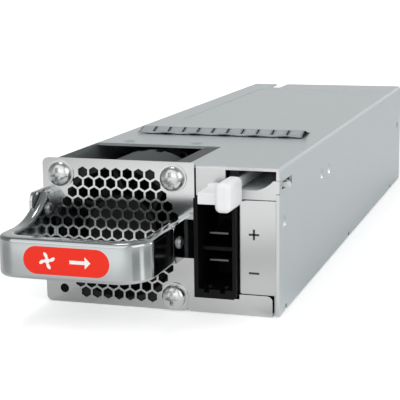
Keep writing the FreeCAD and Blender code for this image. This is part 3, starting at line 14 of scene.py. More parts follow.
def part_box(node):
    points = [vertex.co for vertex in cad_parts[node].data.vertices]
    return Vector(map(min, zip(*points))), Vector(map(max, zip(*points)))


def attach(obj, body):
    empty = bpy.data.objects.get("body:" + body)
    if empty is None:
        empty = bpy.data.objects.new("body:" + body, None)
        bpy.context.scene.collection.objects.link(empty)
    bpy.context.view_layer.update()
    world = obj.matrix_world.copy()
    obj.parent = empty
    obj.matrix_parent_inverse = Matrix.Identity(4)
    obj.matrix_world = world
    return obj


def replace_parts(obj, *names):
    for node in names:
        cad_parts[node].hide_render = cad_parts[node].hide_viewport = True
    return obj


MM = 0.001
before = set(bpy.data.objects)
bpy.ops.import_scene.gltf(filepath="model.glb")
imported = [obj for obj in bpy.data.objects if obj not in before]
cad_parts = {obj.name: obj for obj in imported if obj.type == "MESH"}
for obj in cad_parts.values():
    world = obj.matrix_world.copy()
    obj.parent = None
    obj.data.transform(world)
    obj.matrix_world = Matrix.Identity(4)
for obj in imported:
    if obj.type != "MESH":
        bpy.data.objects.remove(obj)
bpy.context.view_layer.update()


def corners(node):
    """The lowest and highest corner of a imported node."""
    low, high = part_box(node)
    return np.array(low), np.array(high)


# Sizes that the scene shares with the solids
COVER_LOW, COVER_HIGH = corners("top_cover")
HANDLE_LOW, HANDLE_HIGH = corners("handle")
INLAY_LOW, INLAY_HIGH = corners("handle_inlay")
FINGER_LOW, FINGER_HIGH = corners("finger_strip")
SCREW_LOW, SCREW_HIGH = corners("grille_screws")
PLATE_LOW, PLATE_HIGH = corners("inlet_plate")
FRONT = COVER_LOW[1]
FAN_FRONT = corners("fan_frame")[0][1]
SHEET = 0.8 * MM
SCREW_HEAD = 3.75 * MM
HANDLE_MIDDLE = (HANDLE_LOW[2] + HANDLE_HIGH[2]) / 2
BAR_HALF = 10.3 * MM / 2
BAR_DEPTH = 4.5 * MM
ARM_WIDTH = 3.4 * MM
LEFT_CORNER, RIGHT_CORNER = 6 * MM, 8.5 * MM
LEFT_INNER, RIGHT_INNER = 3.5 * MM, 5 * MM
FLARE_START, FLARE_LENGTH = 10.5 * MM, 17 * MM
TAB_REACH = 9 * MM
FILM = 0.03 * MM
FINGERS = 11


# Mesh tools


def grid_faces(rows, columns, wrap=False):
    """Quads of a grid of points, row by row; wrap joins the last column to the first."""
    last = columns if wrap else columns - 1
    row, column = np.meshgrid(np.arange(rows - 1), np.arange(last), indexing="ij")
    beside = (column + 1) % columns
    near, far = row * columns, (row + 1) * columns
    return np.stack([near + column, near + beside, far + beside, far + column], axis=-1).reshape(-1, 4)


def piece(name, points, faces, material, body="chassis", sharp=35):
    """Puts points and faces into a mesh that rides on a body, smooth except at sharp edges."""
    mesh = bpy.data.meshes.new(name)
    loops = [list(map(int, face)) for face in faces]
    mesh.from_pydata(np.asarray(points).reshape(-1, 3).tolist(), [], loops)
    tidy = bmesh.new()
    tidy.from_mesh(mesh)
    bmesh.ops.remove_doubles(tidy, verts=tidy.verts, dist=1e-7)
    bmesh.ops.recalc_face_normals(tidy, faces=tidy.faces)
    tidy.to_mesh(mesh)
    tidy.free()
    return settle(bpy.data.objects.new(name, mesh), material, body, sharp)


def settle(obj, material, body, sharp):
    """Links an object, shades it and hands it to the body that carries it."""
    bpy.context.scene.collection.objects.link(obj)
    obj.data.materials.clear()
    obj.data.materials.append(material)
    obj.data.polygons.foreach_set("use_smooth", np.ones(len(obj.data.polygons), dtype=bool))
    obj.data.set_sharp_from_angle(angle=math.radians(sharp))
    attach(obj, body)
    return obj


def softened(node, material, body="chassis", edge=0.12 * MM, segments=2, sharp=30):
    """A copy of a node with its loose triangles merged and its sharp edges broken by a small bevel."""
    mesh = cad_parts[node].data.copy()
    tidy = bmesh.new()
    tidy.from_mesh(mesh)
    bmesh.ops.remove_doubles(tidy, verts=tidy.verts, dist=1e-6)
    flat, crease = math.radians(0.5), math.radians(40)
    bmesh.ops.dissolve_limit(tidy, angle_limit=flat, verts=tidy.verts, edges=tidy.edges)
    tidy.to_mesh(mesh)
    tidy.free()
    obj = settle(bpy.data.objects.new(node + "_dressed", mesh), material, body, sharp)
    bevel = obj.modifiers.new("broken_edge", "BEVEL")
    bevel.width = edge
    bevel.segments = segments
    bevel.limit_method = "ANGLE"
    bevel.angle_limit = crease
    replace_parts(obj, node)
    return even_normals(obj)


def even_normals(obj):
    """Lets the large faces of a piece set its normals, so that sheet stays flat round a dimple or slit."""
    even = obj.modifiers.new("even_normals", "WEIGHTED_NORMAL")
    even.weight = 100
    even.keep_sharp = True
    return obj


def thicken(obj, thickness, inside):
    """Gives a sheet surface its wall, inwards, with a second material on its inside and cut edges, which
    the finger strip uses for painted shade.
    """
    obj.data.materials.append(inside)
    wall = obj.modifiers.new("wall", "SOLIDIFY")
    wall.thickness = thickness
    wall.offset = -1
    wall.material_offset = 1
    wall.material_offset_rim = 1
    return even_normals(obj)


# Shader tools


class Shade:
    """A socket of a material's tree; arithmetic on it adds Math nodes."""

    def __init__(self, tree, output=None):
        self.tree = tree
        self.output = output

    def add(self, kind, settings=None, out=0, **sockets):
        """Adds any node: its type, its settings, then the values or links of its sockets by name."""
        node = self.tree.nodes.new("ShaderNode" + kind)
        for key, value in (settings or {}).items():
            setattr(node, key, value)
        for key, value in sockets.items():
            name = int(key[1:]) if key[0] == "i" and key[1:].isdigit() else key.replace("_", " ")
            self.plug(node.inputs[name], value)
        return Shade(self.tree, node.outputs[out])

    def plug(self, socket, value):
        """Links another shade to a socket, or sets its value."""
        if isinstance(value, Shade):
            self.tree.links.new(value.output, socket)
        else:
            socket.default_value = value

    def math(self, operation, first, second):
        """One Math node."""
        return self.add("Math", {"operation": operation}, i0=first, i1=second)

    def __add__(self, other):
        return self.math("ADD", self, other)

    __radd__ = __add__

    def __sub__(self, other):
        return self.math("SUBTRACT", self, other)

    def __rsub__(self, other):
        return self.math("SUBTRACT", other, self)

    def __mul__(self, other):
        return self.math("MULTIPLY", self, other)

    __rmul__ = __mul__


def finish(name, colour, roughness, **constants):
    """A material with one Principled shader whose plain sockets are set directly."""
    material = bpy.data.materials.new(name)
    material.use_nodes = True
    shader = material.node_tree.nodes["Principled BSDF"]
    shader.inputs["Base Color"].default_value = (*colour, 1)
    shader.inputs["Roughness"].default_value = roughness
    for key, value in constants.items():
        shader.inputs[key.replace("_", " ")].default_value = value
    return material, shader, Shade(material.node_tree)


def tinted(shade, colour, tone):
    """A colour multiplied by a tone."""
    settings = {"data_type": "RGBA", "blend_type": "MULTIPLY"}
    return shade.add("Mix", settings, out=2, Factor=1.0, i6=(*colour, 1), i7=tone)


def metal(name, colour, roughness, grain=0.05, cloud=0.04, along=(900.0, 60.0, 900.0), **constants):
    """Metal with a faint cloudy tone and a fine grain, drawn out along one axis, in its gloss."""
    material, shader, shade = finish(name, colour, roughness, **{"Metallic": 1.0, **constants})
    place = shade.add("TexCoord", out="Object")
    clouds = shade.add("TexNoise", Vector=place, Scale=60.0, Detail=3.0)
    stretched = shade.add("Mapping", Vector=place, Scale=along)
    rolled = shade.add("TexNoise", Vector=stretched, Scale=1.0, Detail=2.0)
    shade.plug(shader.inputs["Base Color"], tinted(shade, colour, (clouds - 0.5) * cloud + 1.0))
    shade.plug(shader.inputs["Roughness"], (rolled - 0.5) * grain + (clouds - 0.5) * grain + roughness)
    return material


def moulding(name, colour, roughness, grain=0.00002, cloud=0.06, **constants):
    """Moulded, printed or fired stuff: a faintly uneven tone and a fine even texture."""
    material, shader, shade = finish(name, colour, roughness, **constants)
    place = shade.add("TexCoord", out="Object")
    clouds = shade.add("TexNoise", Vector=place, Scale=120.0, Detail=2.0)
    speckle = shade.add("TexNoise", Vector=place, Scale=2500.0, Detail=2.0)
    bump = shade.add("Bump", Strength=0.25, Distance=grain, Height=speckle)
    shade.plug(shader.inputs["Base Color"], tinted(shade, colour, (clouds - 0.5) * cloud + 1.0))
    shade.plug(shader.inputs["Normal"], bump)
    return material


def moulding_with_painted_shade(name, colour, roughness, front, **constants):
    """A moulding with painted shade on its front flange, as far back as a given depth: the shade behind the
    grille, painted into its colour.
    """
    material, shader, shade = finish(name, colour, roughness, **constants)
    place = shade.add("TexCoord", out="Object")
    depth = shade.add("SeparateXYZ", out="Y", Vector=place)
    clouds = shade.add("TexNoise", Vector=place, Scale=120.0, Detail=2.0)
    # Painted shade: the front flange is darkened to three tenths of the colour.
    clear_of_painted_shade = shade.math("GREATER_THAN", depth, front)
    tone = (clouds - 0.5) * 0.06 + clear_of_painted_shade * 0.7 + 0.3
    shade.plug(shader.inputs["Base Color"], tinted(shade, colour, tone))
    return material


def wound(name, colour, roughness, turns):
    """Wire laid in turns: fine bands, with painted shade darkening the gaps between the wires."""
    material, shader, shade = finish(name, colour, roughness, Metallic=0.8)
    place = shade.add("TexCoord", out="Object")
    bands = shade.add("TexWave", {"bands_direction": "Z"}, out=1, Vector=place, Scale=turns)
    # Painted shade in the gaps between the turns.
    shade.plug(shader.inputs["Base Color"], tinted(shade, colour, bands * 0.6 + 0.4))
    return material


def plated(name):
    """Plated sheet steel: a soft, faintly blue grey."""
    return metal(name, (0.53, 0.58, 0.592), 0.34, Metallic=0.85)


def sheet_with_painted_front_light(name, lit_front_colour, front):
    """The plated sheet with painted light on its front faces: a lighter, plainer tone there, as far back as
    a given depth.
    """
    material = plated(name)
    shader = material.node_tree.nodes["Principled BSDF"]
    shade = Shade(material.node_tree, shader.inputs["Base Color"].links[0].from_socket)
    depth = shade.add("SeparateXYZ", out="Y", Vector=shade.add("TexCoord", out="Object"))
    painted_light_ahead = shade.math("LESS_THAN", depth, front)
    mixed = shade.add("Mix", {"data_type": "RGBA"}, out=2, Factor=painted_light_ahead, i6=shade, i7=(*lit_front_colour, 1))
    shade.plug(shader.inputs["Base Color"], mixed)
    return material


PLATED = plated("plated_sheet")
# Painted light: the cover's front faces take a lighter, neutral grey than its top and side.
COVER = sheet_with_painted_front_light("plated_cover_painted_front_light", (0.631, 0.638, 0.638), FRONT + SHEET / 2)
PLATE = metal("inlet_sheet", (0.51, 0.52, 0.52), 0.13, 0.03)
BRIGHT = metal("bright_sheet", (0.56, 0.57, 0.57), 0.13, 0.03)
SATIN = metal("satin_shelf", (0.68, 0.7, 0.7), 0.35, Metallic=0.0)
SPRING = metal("spring_strip", (0.5, 0.54, 0.55), 0.42, along=(60.0, 900.0, 900.0))
# Painted shade: near-black for the inside and slit edges of the finger strip, where shade falls under it.
SHADED = metal("shaded_strip", (0.02, 0.021, 0.022), 0.6)
POLISHED = metal("polished_handle", (0.48, 0.505, 0.51), 0.13, 0.02, 0.02)
CHROME = metal("chrome_screw", (0.66, 0.67, 0.67), 0.24, 0.02, 0.02)
STEEL = metal("dull_screw", (0.3, 0.31, 0.31), 0.3, 0.02, 0.02)
BLUED = metal("blued_shaft", (0.03, 0.03, 0.032), 0.4)
TINNED = metal("tinned_blade", (0.13, 0.13, 0.127), 0.35)
GOLD = metal("gold_contact", (0.85, 0.6, 0.22), 0.22)
BRASS = metal("brass", (0.72, 0.53, 0.25), 0.3)
ALUMINIUM = metal("extruded_aluminium", (0.75, 0.75, 0.76), 0.35)
RED = moulding("red_film", (0.85, 0.03, 0.013), 0.5, Specular_IOR_Level=0.2)
INK_WHITE = moulding("white_print", (0.9, 0.88, 0.86), 0.5)
INK_DARK = moulding("dark_print", (0.03, 0.03, 0.03), 0.5)
WHITE = moulding("white_moulding", (0.83, 0.84, 0.85), 0.5)
BLACK = moulding("black_moulding", (0.004, 0.004, 0.004), 0.45, Specular_IOR_Level=0.12)
# The fan housing carries painted shade on its front flange.
FAN_GREY_PAINTED_FRONT = moulding_with_painted_shade("fan_housing", (0.033, 0.041, 0.0435), 0.55, FAN_FRONT + 0.5 * MM, Specular_IOR_Level=0.3)
DARK = moulding("fan_partition", (0.035, 0.042, 0.045), 0.5)
ROTOR = moulding("fan_rotor", (0.007, 0.007, 0.007), 0.5, Specular_IOR_Level=0.3)
SMOKED = moulding("smoked_light", (0.002, 0.002, 0.002), 0.3, Specular_IOR_Level=0.1)
BOARD = moulding("solder_resist", (0.015, 0.13, 0.06), 0.35)
FILM_SHEET = moulding("insulating_film", (0.7, 0.66, 0.5), 0.4)
SLEEVE = moulding("can_sleeve", (0.02, 0.025, 0.05), 0.3)
FERRITE = moulding("ferrite", (0.04, 0.04, 0.042), 0.6)
CERAMIC = moulding("ceramic", (0.75, 0.72, 0.65), 0.5)
WINDING = wound("wound_copper", (0.55, 0.2, 0.07), 0.35, 700.0)


# Case, panel and fittings that follow their solids


def dress_solids():
    """Breaks the edges of the solids that stay as they are, and paints the hidden ones."""
    for node in ("chassis_tray", "rear_panel"):
        softened(node, PLATED)
    softened("top_cover", COVER, sharp=16)
    for node in ("front_panel", "latch_bracket"):
        softened(node, BRIGHT)
    softened("inlet_plate", PLATE)
    softened("latch_shelf", SATIN)
    for node in ("latch_lever", "latch_arm"):
        softened(node, SATIN, "latch")
    softened("latch_tab", WHITE, "latch", 0.45 * MM, 4)
    softened("inlet_housing", BLACK, edge=0.2 * MM)
    softened("inlet_blades", TINNED)
    softened("fan_frame", FAN_GREY_PAINTED_FRONT, edge=0.25 * MM)
    softened("fan_partition", DARK)
    softened("fan_rotor", ROTOR, "fan_rotor", 0.1 * MM)
    softened("status_light", SMOKED, edge=0.25 * MM, segments=3)
    softened("main_board", BOARD, edge=0.05 * MM)
    hidden = {
        "latch_pin": CHROME,
        "fan_shaft": BLUED,
        "fan_bearing": BRASS,
        "board_standoffs": BRASS,
        "board_screws": CHROME,
        "insulating_sheet": FILM_SHEET,
        "control_board": BOARD,
        "output_contacts": GOLD,
        "bulk_capacitors": SLEEVE,
        "output_capacitors": SLEEVE,
        "primary_heatsink": ALUMINIUM,
        "output_heatsink": ALUMINIUM,
        "power_transistors": BLACK,
        "output_rectifiers": BLACK,
        "transformer_core": FERRITE,
        "output_inductor": FERRITE,
        "transformer_winding": WINDING,
        "input_choke": WINDING,
        "input_fuse": CERAMIC,
        "fan_socket": WHITE,
    }
    for node, material in hidden.items():
        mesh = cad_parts[node].data
        mesh.materials.clear()
        mesh.materials.append(material)


# Pull handle


def rail(left, right, front, left_round, right_round, left_steps, right_steps):
    """One edge of the handle seen from above: arm, quarter circle, bar, quarter circle, arm.

    The arms are straight at given depths with a sideways step each, and the quarter circles are
    centre plus radius times cosine and sine.
    """
    turn = np.linspace(0, np.pi / 2, 25)[1:-1]
    left_y, left_x = left_steps
    right_y, right_x = right_steps
    near_left = left + left_round * (1 - np.cos(turn)), front + left_round * (1 - np.sin(turn))
    near_right = right - right_round * (1 - np.sin(turn)), front + right_round * (1 - np.cos(turn))
    across = np.linspace(left + left_round, right - right_round, 12)
    x = np.concatenate([left + left_x, near_left[0], across, near_right[0], right - right_x])
    y = np.concatenate([left_y, near_left[1], np.full(across.size, front), near_right[1], right_y])
    return np.stack([x, y], axis=-1)


def arm_steps(front, corner, inset):
    """Depths along an arm from its root to its corner, and how far the seat of the tab steps in there."""
    seat = FRONT - TAB_REACH - 0.1 * MM
    seated = np.linspace(HANDLE_HIGH[1], seat, 8)
    depths = np.concatenate([seated, np.linspace(seat, front + corner, 40)])
    return depths, np.where(np.arange(depths.size) < seated.size, inset, 0.0)


def pull_handle():
    """Loop of the handle: a rounded rectangle carried along its outer and inner rails.

    Its half height is the bar's, plus radius minus the root of radius squared minus run squared
    along the left arm, which is the arc that flares the arm to its root.
    """
    front = HANDLE_LOW[1] + 2 * FILM
    left, right = HANDLE_LOW[0], HANDLE_HIGH[0]
    outer_left = arm_steps(front, LEFT_CORNER, SHEET)
    outer_right = [values[::-1] for values in arm_steps(front, RIGHT_CORNER, SHEET)]
    inner_front = front + BAR_DEPTH
    inner_left = arm_steps(inner_front, LEFT_INNER, 0)
    inner_right = [values[::-1] for values in arm_steps(inner_front, RIGHT_INNER, 0)]
    outer = rail(left, right, front, LEFT_CORNER, RIGHT_CORNER, outer_left, outer_right)
    inner = rail(
        left + ARM_WIDTH, right - ARM_WIDTH, inner_front, LEFT_INNER, RIGHT_INNER, inner_left, inner_right
    )
    rise = (HANDLE_HIGH[2] - HANDLE_LOW[2]) / 2 - BAR_HALF
    radius = (FLARE_LENGTH**2 + rise**2) / (2 * rise)
    run = np.clip(outer[:, 1] - (HANDLE_LOW[1] + FLARE_START), 0, FLARE_LENGTH)
    run = np.where(outer[:, 0] < (left + right) / 2, run, 0)
    half = BAR_HALF + radius - np.sqrt(radius**2 - run**2)
    across = outer - inner
    width = np.linalg.norm(across, axis=1)
    middle = (outer + inner) / 2
    edge = 1.1 * MM
    angle = np.linspace(0, np.pi / 2, 8)
    quarters = np.arange(4) * np.pi / 2
    turns = (quarters[:, None] + angle).ravel()
    toward = np.repeat(quarters + np.pi / 4, angle.size)
    side, up = np.sign(np.cos(toward)), np.sign(np.sin(toward))
    offset = side * (width[:, None] / 2 - edge) + edge * np.cos(turns)
    height = up * (half[:, None] - edge) + edge * np.sin(turns)
    plan = middle[:, None, :] + offset[:, :, None] * (across / width[:, None])[:, None, :]
    points = np.concatenate([plan, (HANDLE_MIDDLE + height)[:, :, None]], axis=2)
    rows, columns = points.shape[:2]
    faces = list(grid_faces(rows, columns, wrap=True))
    faces.append(np.arange(columns)[::-1])
    faces.append(np.arange(columns) + (rows - 1) * columns)
    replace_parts(piece("handle_loop", points, faces, POLISHED), "handle")


def disc_faces(rings, spokes):
    """Quads of rings of points, outermost first, closed at the middle by the innermost ring."""
    return list(grid_faces(rings, spokes, wrap=True)) + [np.arange(spokes) + (rings - 1) * spokes]


def stadium(half_length, half_height, count=24):
    """Outline of a bar with half-round ends: a circle whose right half moves right and left half left."""
    angle = np.linspace(-np.pi / 2, np.pi / 2, count)
    x = half_length - half_height + half_height * np.cos(angle)
    end = np.stack([x, half_height * np.sin(angle)], axis=-1)
    return np.concatenate([end, -end])


def red_inlay():
    """Red film in the bar: a stadium whose last rings roll over its edge, with a fan and arrow in white."""
    middle = (INLAY_LOW + INLAY_HIGH) / 2
    size = (INLAY_HIGH - INLAY_LOW) / 2
    front = INLAY_LOW[1] + FILM
    steps = ((0, 4 * FILM), (0, 2 * FILM), (0.1 * MM, 0.4 * FILM), (0.25 * MM, 0))
    rings = [
        np.insert(stadium(size[0] - inset, size[2] - inset) + middle[[0, 2]], 1, front + back, axis=1)
        for inset, back in steps
    ]
    points = np.concatenate(rings)
    film = piece("red_film", points, disc_faces(len(rings), len(rings[0])), RED, sharp=60)
    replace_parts(film, "handle_inlay")
    flat_print("fan_mark", fan_outline(2.2 * MM) + middle[[0, 2]] - [5 * MM, 0], front)
    tail, head, wide, thin = 1.0 * MM, 6.5 * MM, 1.5 * MM, 0.45 * MM
    neck = head - wide
    upper = np.array([(head, 0), (neck, wide), (neck, thin), (tail, thin)])
    lower = upper[:0:-1] * [1, -1]
    flat_print("arrow_mark", np.concatenate([lower, upper]) + middle[[0, 2]], front)


def fan_outline(radius, blades=4, hub=0.32, sweep=0.35):
    """Outline of a fan: a hub with a lobe for each blade, twisted more the further out it lies.

    The lobes are the positive part of a cosine of the angle times the number of blades, made fuller by
    a power below one.
    """
    turn = np.linspace(0, 2 * np.pi, 120, endpoint=False)
    share = hub + (1 - hub) * np.clip(np.cos(blades * turn), 0, 1) ** 0.6
    swirl = turn + sweep * share
    return radius * share[:, None] * np.stack([np.cos(swirl), np.sin(swirl)], axis=-1)


def flat_print(name, outline, surface, material=INK_WHITE):
    """A printed mark: a flat outline a film's thickness in front of a face that looks forward."""
    front = np.insert(outline, 1, surface - FILM, axis=1)
    back = np.insert(outline, 1, surface, axis=1)
    count = len(outline)
    points = np.concatenate([back, front])
    faces = list(grid_faces(2, count, wrap=True)) + [np.arange(count) + count, np.arange(count)[::-1]]
    return piece(name, points, faces, material)


def polarity_marks():
    """Plus and minus beside the two poles of the inlet."""
    x = (PLATE_LOW[0] + PLATE_HIGH[0]) / 2 - 1 * MM
    long, thin = 1.4 * MM, 0.28 * MM
    bar = np.array([(-long, -thin), (long, -thin), (long, thin), (-long, thin)])
    surface = PLATE_LOW[1]
    upright = bar[:, ::-1][::-1]
    plus, minus = 21.8 * MM, 11.5 * MM
    for name, shape, height in (
        ("plus_across", bar, plus),
        ("plus_upright", upright, plus),
        ("minus", bar, minus),
    ):
        flat_print(name, shape + np.array([x, height]), surface, INK_DARK)


# Screws


def screw_head():
    """Points and faces of one round head with a cross recess, of radius and height one.

    The middle is a square grid drawn into a disc, x as u times the root of one minus half v squared and
    y likewise, with grid lines on the edges of the cross. Rings carry its rim out to the edge. Height is
    a dome, the root of one minus radius to the power 2.6, less the recess inside the two bars of the cross.
    """
    disc, rim = 0.6, 0.9
    edge, roundness, recess_depth = 0.16, 2.6, 0.55
    arm, wide, slope = 0.87, 0.24, 0.05
    marks = np.array([arm, arm - slope, wide, wide - slope])
    knots = np.unique(np.concatenate([np.linspace(-1, 1, 21), marks, -marks]))
    u, v = np.meshgrid(knots, knots)

    def dome(reach):
        """Height of the head at a distance from its middle."""
        return edge + (1 - edge) * np.sqrt(np.clip(1 - (reach / rim) ** roundness, 0, 1))

    def bar(along, across):
        """One inside a bar of the cross, falling to nothing over its sloped edge."""
        ends = np.clip((arm - np.abs(along)) / slope, 0, 1)
        sides = np.clip((wide - np.abs(across)) / slope, 0, 1)
        return np.minimum(ends, sides)

    x, y = disc * u * np.sqrt(1 - v**2 / 2), disc * v * np.sqrt(1 - u**2 / 2)
    recess = recess_depth * np.maximum(bar(u, v), bar(v, u))
    middle = np.stack([x, y, dome(np.hypot(x, y)) - recess], axis=-1).reshape(-1, 3)
    grid = np.arange(knots.size**2).reshape(knots.size, -1)
    loop = np.concatenate([grid[0, :-1], grid[:-1, -1], grid[-1, :0:-1], grid[:0:-1, 0]])
    turn = np.arctan2(middle[loop, 1], middle[loop, 0])
    reach = np.concatenate([[1, 1], np.linspace(1, rim, 4)[1:], np.linspace(rim, disc, 16)[1:]])[:, None]
    rise = dome(reach)
    rise[0] = 0
    rings = np.stack([reach * np.cos(turn), reach * np.sin(turn), rise + 0 * turn], axis=-1)
    faces = list(grid_faces(*rings.shape[:2], wrap=True)) + [np.arange(turn.size)[::-1]]
    faces += list(grid_faces(knots.size, knots.size) + rings[..., 0].size)
    return np.concatenate([rings.reshape(-1, 3), middle]), faces


def screw_heads(name, node, seats, outward, radius, height, material):
    """One mesh for a set of screws: the head scaled, turned outwards and set on each seat."""
    head, one = screw_head()
    side = np.array([0, 0, 1.0]) if abs(outward[2]) < 0.5 else np.array([1.0, 0, 0])
    turned = head * [radius, radius, height] @ np.stack([side, np.cross(outward, side), outward])
    points = np.concatenate([turned + seat for seat in seats])
    faces = [face + k * len(head) for k in range(len(seats)) for face in one]
    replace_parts(piece(name, points, faces, material, sharp=40), node)


def all_screws():
    """Grille screws at three fan corners and the cross screws of the handle."""
    radius, height = SCREW_HEAD, FRONT - SCREW_LOW[1]
    low, high = SCREW_LOW + radius, SCREW_HIGH - radius
    seats = [(low[0], FRONT, high[2]), (high[0], FRONT, high[2]), (high[0], FRONT, low[2])]
    out = np.array([0.0, -1.0, 0.0])
    screw_heads("grille_screw_heads", "grille_screws", np.array(seats), out, radius, height, CHROME)
    low, high = corners("handle_screws")
    small, drawn = 2.3 * MM, 1.8 * MM
    depth = (low[1] + high[1]) / 2
    inner = HANDLE_LOW[0] + ARM_WIDTH
    middle = (low[2] + high[2]) / 2
    heights = (low[2] + small, high[2] - small)
    seats = [(inner, depth, height) for height in heights] + [(HANDLE_HIGH[0], depth, middle)]
    out = np.array([1.0, 0.0, 0.0])
    screw_heads("handle_screw_heads", "handle_screws", np.array(seats), out, drawn, 1.0 * MM, STEEL)


# Spring finger strip


def finger_strip():
    """Strip of fingers: one bent profile carried across, with the slits left out of the grid.

    The profile rises from a short lip in a straight ramp to a rounded crest and falls to a flat foot.
    The lip bows up off the cover over every second slit, by half of one plus a cosine.
    """
    start, end = FINGER_LOW[1], FINGER_HIGH[1]
    base, peak = COVER_HIGH[2], FINGER_HIGH[2]
    lip, crest, foot, heel = 0.9 * MM, 5.2 * MM, 1.6 * MM, 0.6 * MM
    lip_lift, ramp_lift, heel_lift, foot_lift = 0.3 * MM, 0.32 * MM, 0.36 * MM, 0.25 * MM
    round_run, round_drop = 0.5 * MM, 0.1 * MM
    knots = np.array(
        [
            (start, base + lip_lift),
            (start + lip, base + ramp_lift),
            (start + crest - round_run, peak - round_drop),
            (start + crest, peak),
            (start + crest + round_run, peak - round_drop),
            (end - foot - heel, base + heel_lift),
            (end - foot, base + foot_lift),
            (end, base + foot_lift),
        ]
    )
    length = np.concatenate([[0], np.cumsum(np.linalg.norm(np.diff(knots, axis=0), axis=1))])
    along = np.linspace(0, length[-1], 60)
    profile = np.stack([np.interp(along, length, knots[:, k]) for k in range(2)], axis=-1)
    half_slit, steps = 0.22 * MM, 6
    slit_start, slit_end = start + 0.32 * crest, end - foot - 1.2 * MM
    cuts = np.linspace(FINGER_LOW[0], FINGER_HIGH[0], FINGERS + 1)
    edges = np.sort(np.concatenate([cuts[[0, -1]], cuts[1:-1] - half_slit, cuts[1:-1] + half_slit]))
    between = np.linspace(edges[:-1], edges[1:], steps, endpoint=False, axis=1).ravel()
    columns = np.append(between, edges[-1])
    points = np.empty((profile.shape[0], columns.size, 3))
    points[:, :, 0] = columns
    points[:, :, 1:] = profile[:, None, :]
    pitch, bow_height, bow_reach = cuts[1] - cuts[0], 0.3 * MM, 2.2 * MM
    bow = bow_height * (1 + np.cos(np.pi * (columns - cuts[0]) / pitch)) / 2
    near_lip = np.clip(1 - (profile[:, 0] - start) / bow_reach, 0, 1)
    points[:, :, 2] += near_lip[:, None] * (bow - FILM)
    faces = grid_faces(*points.shape[:2])
    row, column = faces[:, 0] // columns.size, faces[:, 0] % columns.size
    mid = (profile[row, 0] + profile[row + 1, 0]) / 2
    open_slit = (column // steps % 2 == 1) & (mid > slit_start) & (mid < slit_end)
    strip = piece("finger_sheet", points, faces[~open_slit], SPRING, sharp=50)
    # The inside and the slit edges carry painted shade, so that the slits read dark.
    thicken(strip, 0.15 * MM, SHADED)
    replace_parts(strip, "finger_strip")


# Stage


def eased(shade, value, start, end, first, last):
    """A tone that goes smoothly from a first to a last level while a value goes from start to end."""
    smooth = {"interpolation_type": "SMOOTHSTEP"}
    return shade.add("MapRange", smooth, Value=value, i1=start, i2=end, i3=first, i4=last)


def seen_directly(shade):
    """One for a ray of the camera, of a reflection or through glass, and nothing for other rays."""
    straight = shade.add("LightPath", out="Is Camera Ray")
    mirrored = shade.add("LightPath", out="Is Glossy Ray")
    through = shade.add("LightPath", out="Is Transmission Ray")
    return shade.math("MAXIMUM", shade.math("MAXIMUM", straight, mirrored), through)


def grey(shade, tone):
    """A grey of a given tone."""
    return shade.add("CombineColor", Red=tone, Green=tone, Blue=tone)


def pale_floor():
    """Pale floor that keeps the shadow, with painted reflections and painted light: mirrored, it is dimmer,
    with painted shade in soft patches and the wedges below and a painted highlight streak, and two round
    pools of painted light show both mirrored and straight on.

    A wedge lies between two bearings from the centre of the handle's right corner, so that the round
    corner mirrors it as an upright band.
    """
    reach, drop = 30.0, -0.1 * MM
    square = [(-1, -1), (1, -1), (1, 1), (-1, 1)]
    mesh = bpy.data.meshes.new("floor")
    mesh.from_pydata([(reach * x, reach * y, drop) for x, y in square], [], [(0, 1, 2, 3)])
    floor = bpy.data.objects.new("floor", mesh)
    bpy.context.scene.collection.objects.link(floor)
    material, shader, shade = finish("pale_floor", (0.9, 0.9, 0.9), 0.9)
    shader.inputs["Specular IOR Level"].default_value = 0.0
    shader.inputs["Emission Strength"].default_value = 1.0
    place = shade.add("TexCoord", out="Object")
    corner = (HANDLE_HIGH[0] - RIGHT_CORNER, HANDLE_LOW[1] + RIGHT_CORNER, 0.0)
    sideways = shade.add("SeparateXYZ", out="X", Vector=place) - corner[0]
    forward = corner[1] - shade.add("SeparateXYZ", out="Y", Vector=place)
    bearing = shade.math("ARCTAN2", sideways, forward)

    def pool(centre, inner, outer, bright, dim):
        """A round patch, bright inside one radius and dim outside another."""
        away = shade.add("VectorMath", {"operation": "DISTANCE"}, out="Value", i0=place, i1=centre)
        return eased(shade, away, inner, outer, bright, dim)

    def wedge(opening, closing):
        """One between two bearings in degrees, and nothing outside them."""
        start, end, soft = math.radians(opening), math.radians(closing), math.radians(3)
        rise = eased(shade, bearing, start - soft, start + soft, 0.0, 1.0)
        return rise * eased(shade, bearing, end - soft, end + soft, 1.0, 0.0)

    # Painted reflections on the handle: a ring round its right corner, cut into wedges of painted shade and
    # a streak of painted highlight.
    ring = pool(corner, 0.025, 0.04, 0.0, 1.0) * pool(corner, 0.13, 0.18, 1.0, 0.0)
    painted_highlight_streak = ring * wedge(79, 90) * 0.5
    # Pools of painted light in front of the bar and the panel, seen straight on and mirrored; painted shade
    # mirrored at the left.
    painted_light_before_bar = pool((-0.02, -0.29, 0), 0.055, 0.14, 0.6, 0.04)
    painted_light_before_panel = pool((0.03, -0.125, 0), 0.01, 0.06, 0.3, 0.0)
    left_shade = pool((-0.12, -0.19, 0), 0.045, 0.085, 0.28, 0.0)
    right_shade = ring * (wedge(50, 76) + wedge(93, 124)) * 0.33
    backdrop = pool((0, 0, 0), 0.3, 1.1, 0.34, 1.0)
    straight = shade.add("LightPath", out="Is Camera Ray")
    mirrored = shade.add("LightPath", out="Is Glossy Ray")
    patches = seen_directly(shade) * (painted_light_before_bar + painted_light_before_panel)
    glow = shade.math("MAXIMUM", straight * backdrop, patches) + mirrored * painted_highlight_streak
    # Mirrored, the floor is dimmer all over, with painted shade in the patches and wedges.
    tone = 0.9 - mirrored * (left_shade + right_shade + 0.14)
    shade.plug(shader.inputs["Base Color"], grey(shade, tone))
    shade.plug(shader.inputs["Emission Color"], grey(shade, glow))
    mesh.materials.append(material)


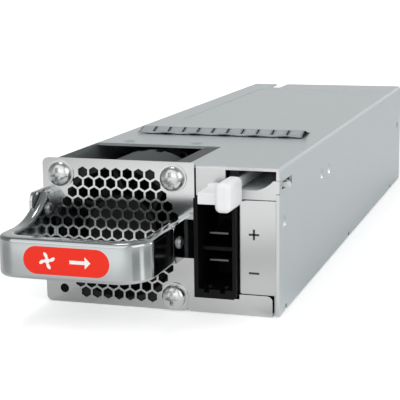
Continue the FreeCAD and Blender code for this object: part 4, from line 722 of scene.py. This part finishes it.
def soft_lamps():
    """Square lamps that look at the part: name, place, width in metres and power in watts."""
    lamps = (
        ("key", (-0.1, -0.95, 0.7), 1.5, 5.7),
        ("fill", (0.85, -0.3, 0.45), 0.8, 2.2),
        ("back", (0.24, 1.12, 0.4), 0.4, 0.22),
        ("overhead", (-0.17, 0.24, 0.92), 0.25, 1.0),
        ("low_rear", (0.95, 0.8, 0.16), 0.28, 1.3),
    )
    for name, spot, size, power in lamps:
        light = bpy.data.lights.new(name, "AREA")
        light.shape = "SQUARE"
        light.size = size
        light.energy = power
        lamp = bpy.data.objects.new(name, light)
        lamp.location = spot
        lamp.rotation_euler = (-Vector(spot)).to_track_quat("-Z", "Y").to_euler()
        bpy.context.scene.collection.objects.link(lamp)


def pale_surround():
    """White behind the part; mirrored, it dims towards the ceiling and the left."""
    world = bpy.data.worlds.new("studio")
    bpy.context.scene.world = world
    world.use_nodes = True
    background = world.node_tree.nodes["Background"]
    shade = Shade(world.node_tree)
    bearing = shade.add("TexCoord", out="Generated")
    ceiling = eased(shade, shade.add("SeparateXYZ", out="Z", Vector=bearing), 0.05, 0.9, 0.85, 0.3)
    leftward = eased(shade, shade.add("SeparateXYZ", out="X", Vector=bearing), -0.9, -0.2, 0.45, 1.0)
    straight = shade.add("LightPath", out="Is Camera Ray")
    level = seen_directly(shade) * ceiling * leftward + (1 - seen_directly(shade)) * 0.6
    shade.plug(background.inputs["Strength"], shade.math("MAXIMUM", straight, level))
    background.inputs["Color"].default_value = (1, 1, 1, 1)


def photograph_camera():
    """The camera at the photograph's place, angle and lens."""
    turn_left, look_down, lean = math.radians(17.72), math.radians(11.14), math.radians(-0.69)
    place = (0.10319, -0.39639, 0.09007)
    lens_in_pixels, picture = 1183.8, 400
    camera = bpy.data.cameras.new("photograph")
    camera.sensor_fit = "HORIZONTAL"
    camera.sensor_width = 36
    camera.lens = camera.sensor_width * lens_in_pixels / picture
    camera.clip_end = 100
    viewer = bpy.data.objects.new("photograph", camera)
    spin = Matrix.Rotation(turn_left, 4, "Z") @ Matrix.Rotation(math.pi / 2 - look_down, 4, "X")
    viewer.matrix_world = Matrix.Translation(place) @ spin @ Matrix.Rotation(lean, 4, "Z")
    bpy.context.scene.collection.objects.link(viewer)
    bpy.context.scene.camera = viewer
    bpy.context.scene.view_settings.view_transform = "Standard"


dress_solids()
pull_handle()
red_inlay()
polarity_marks()
all_screws()
finger_strip()
pale_floor()
soft_lamps()
pale_surround()
photograph_camera()
bpy.context.view_layer.update()
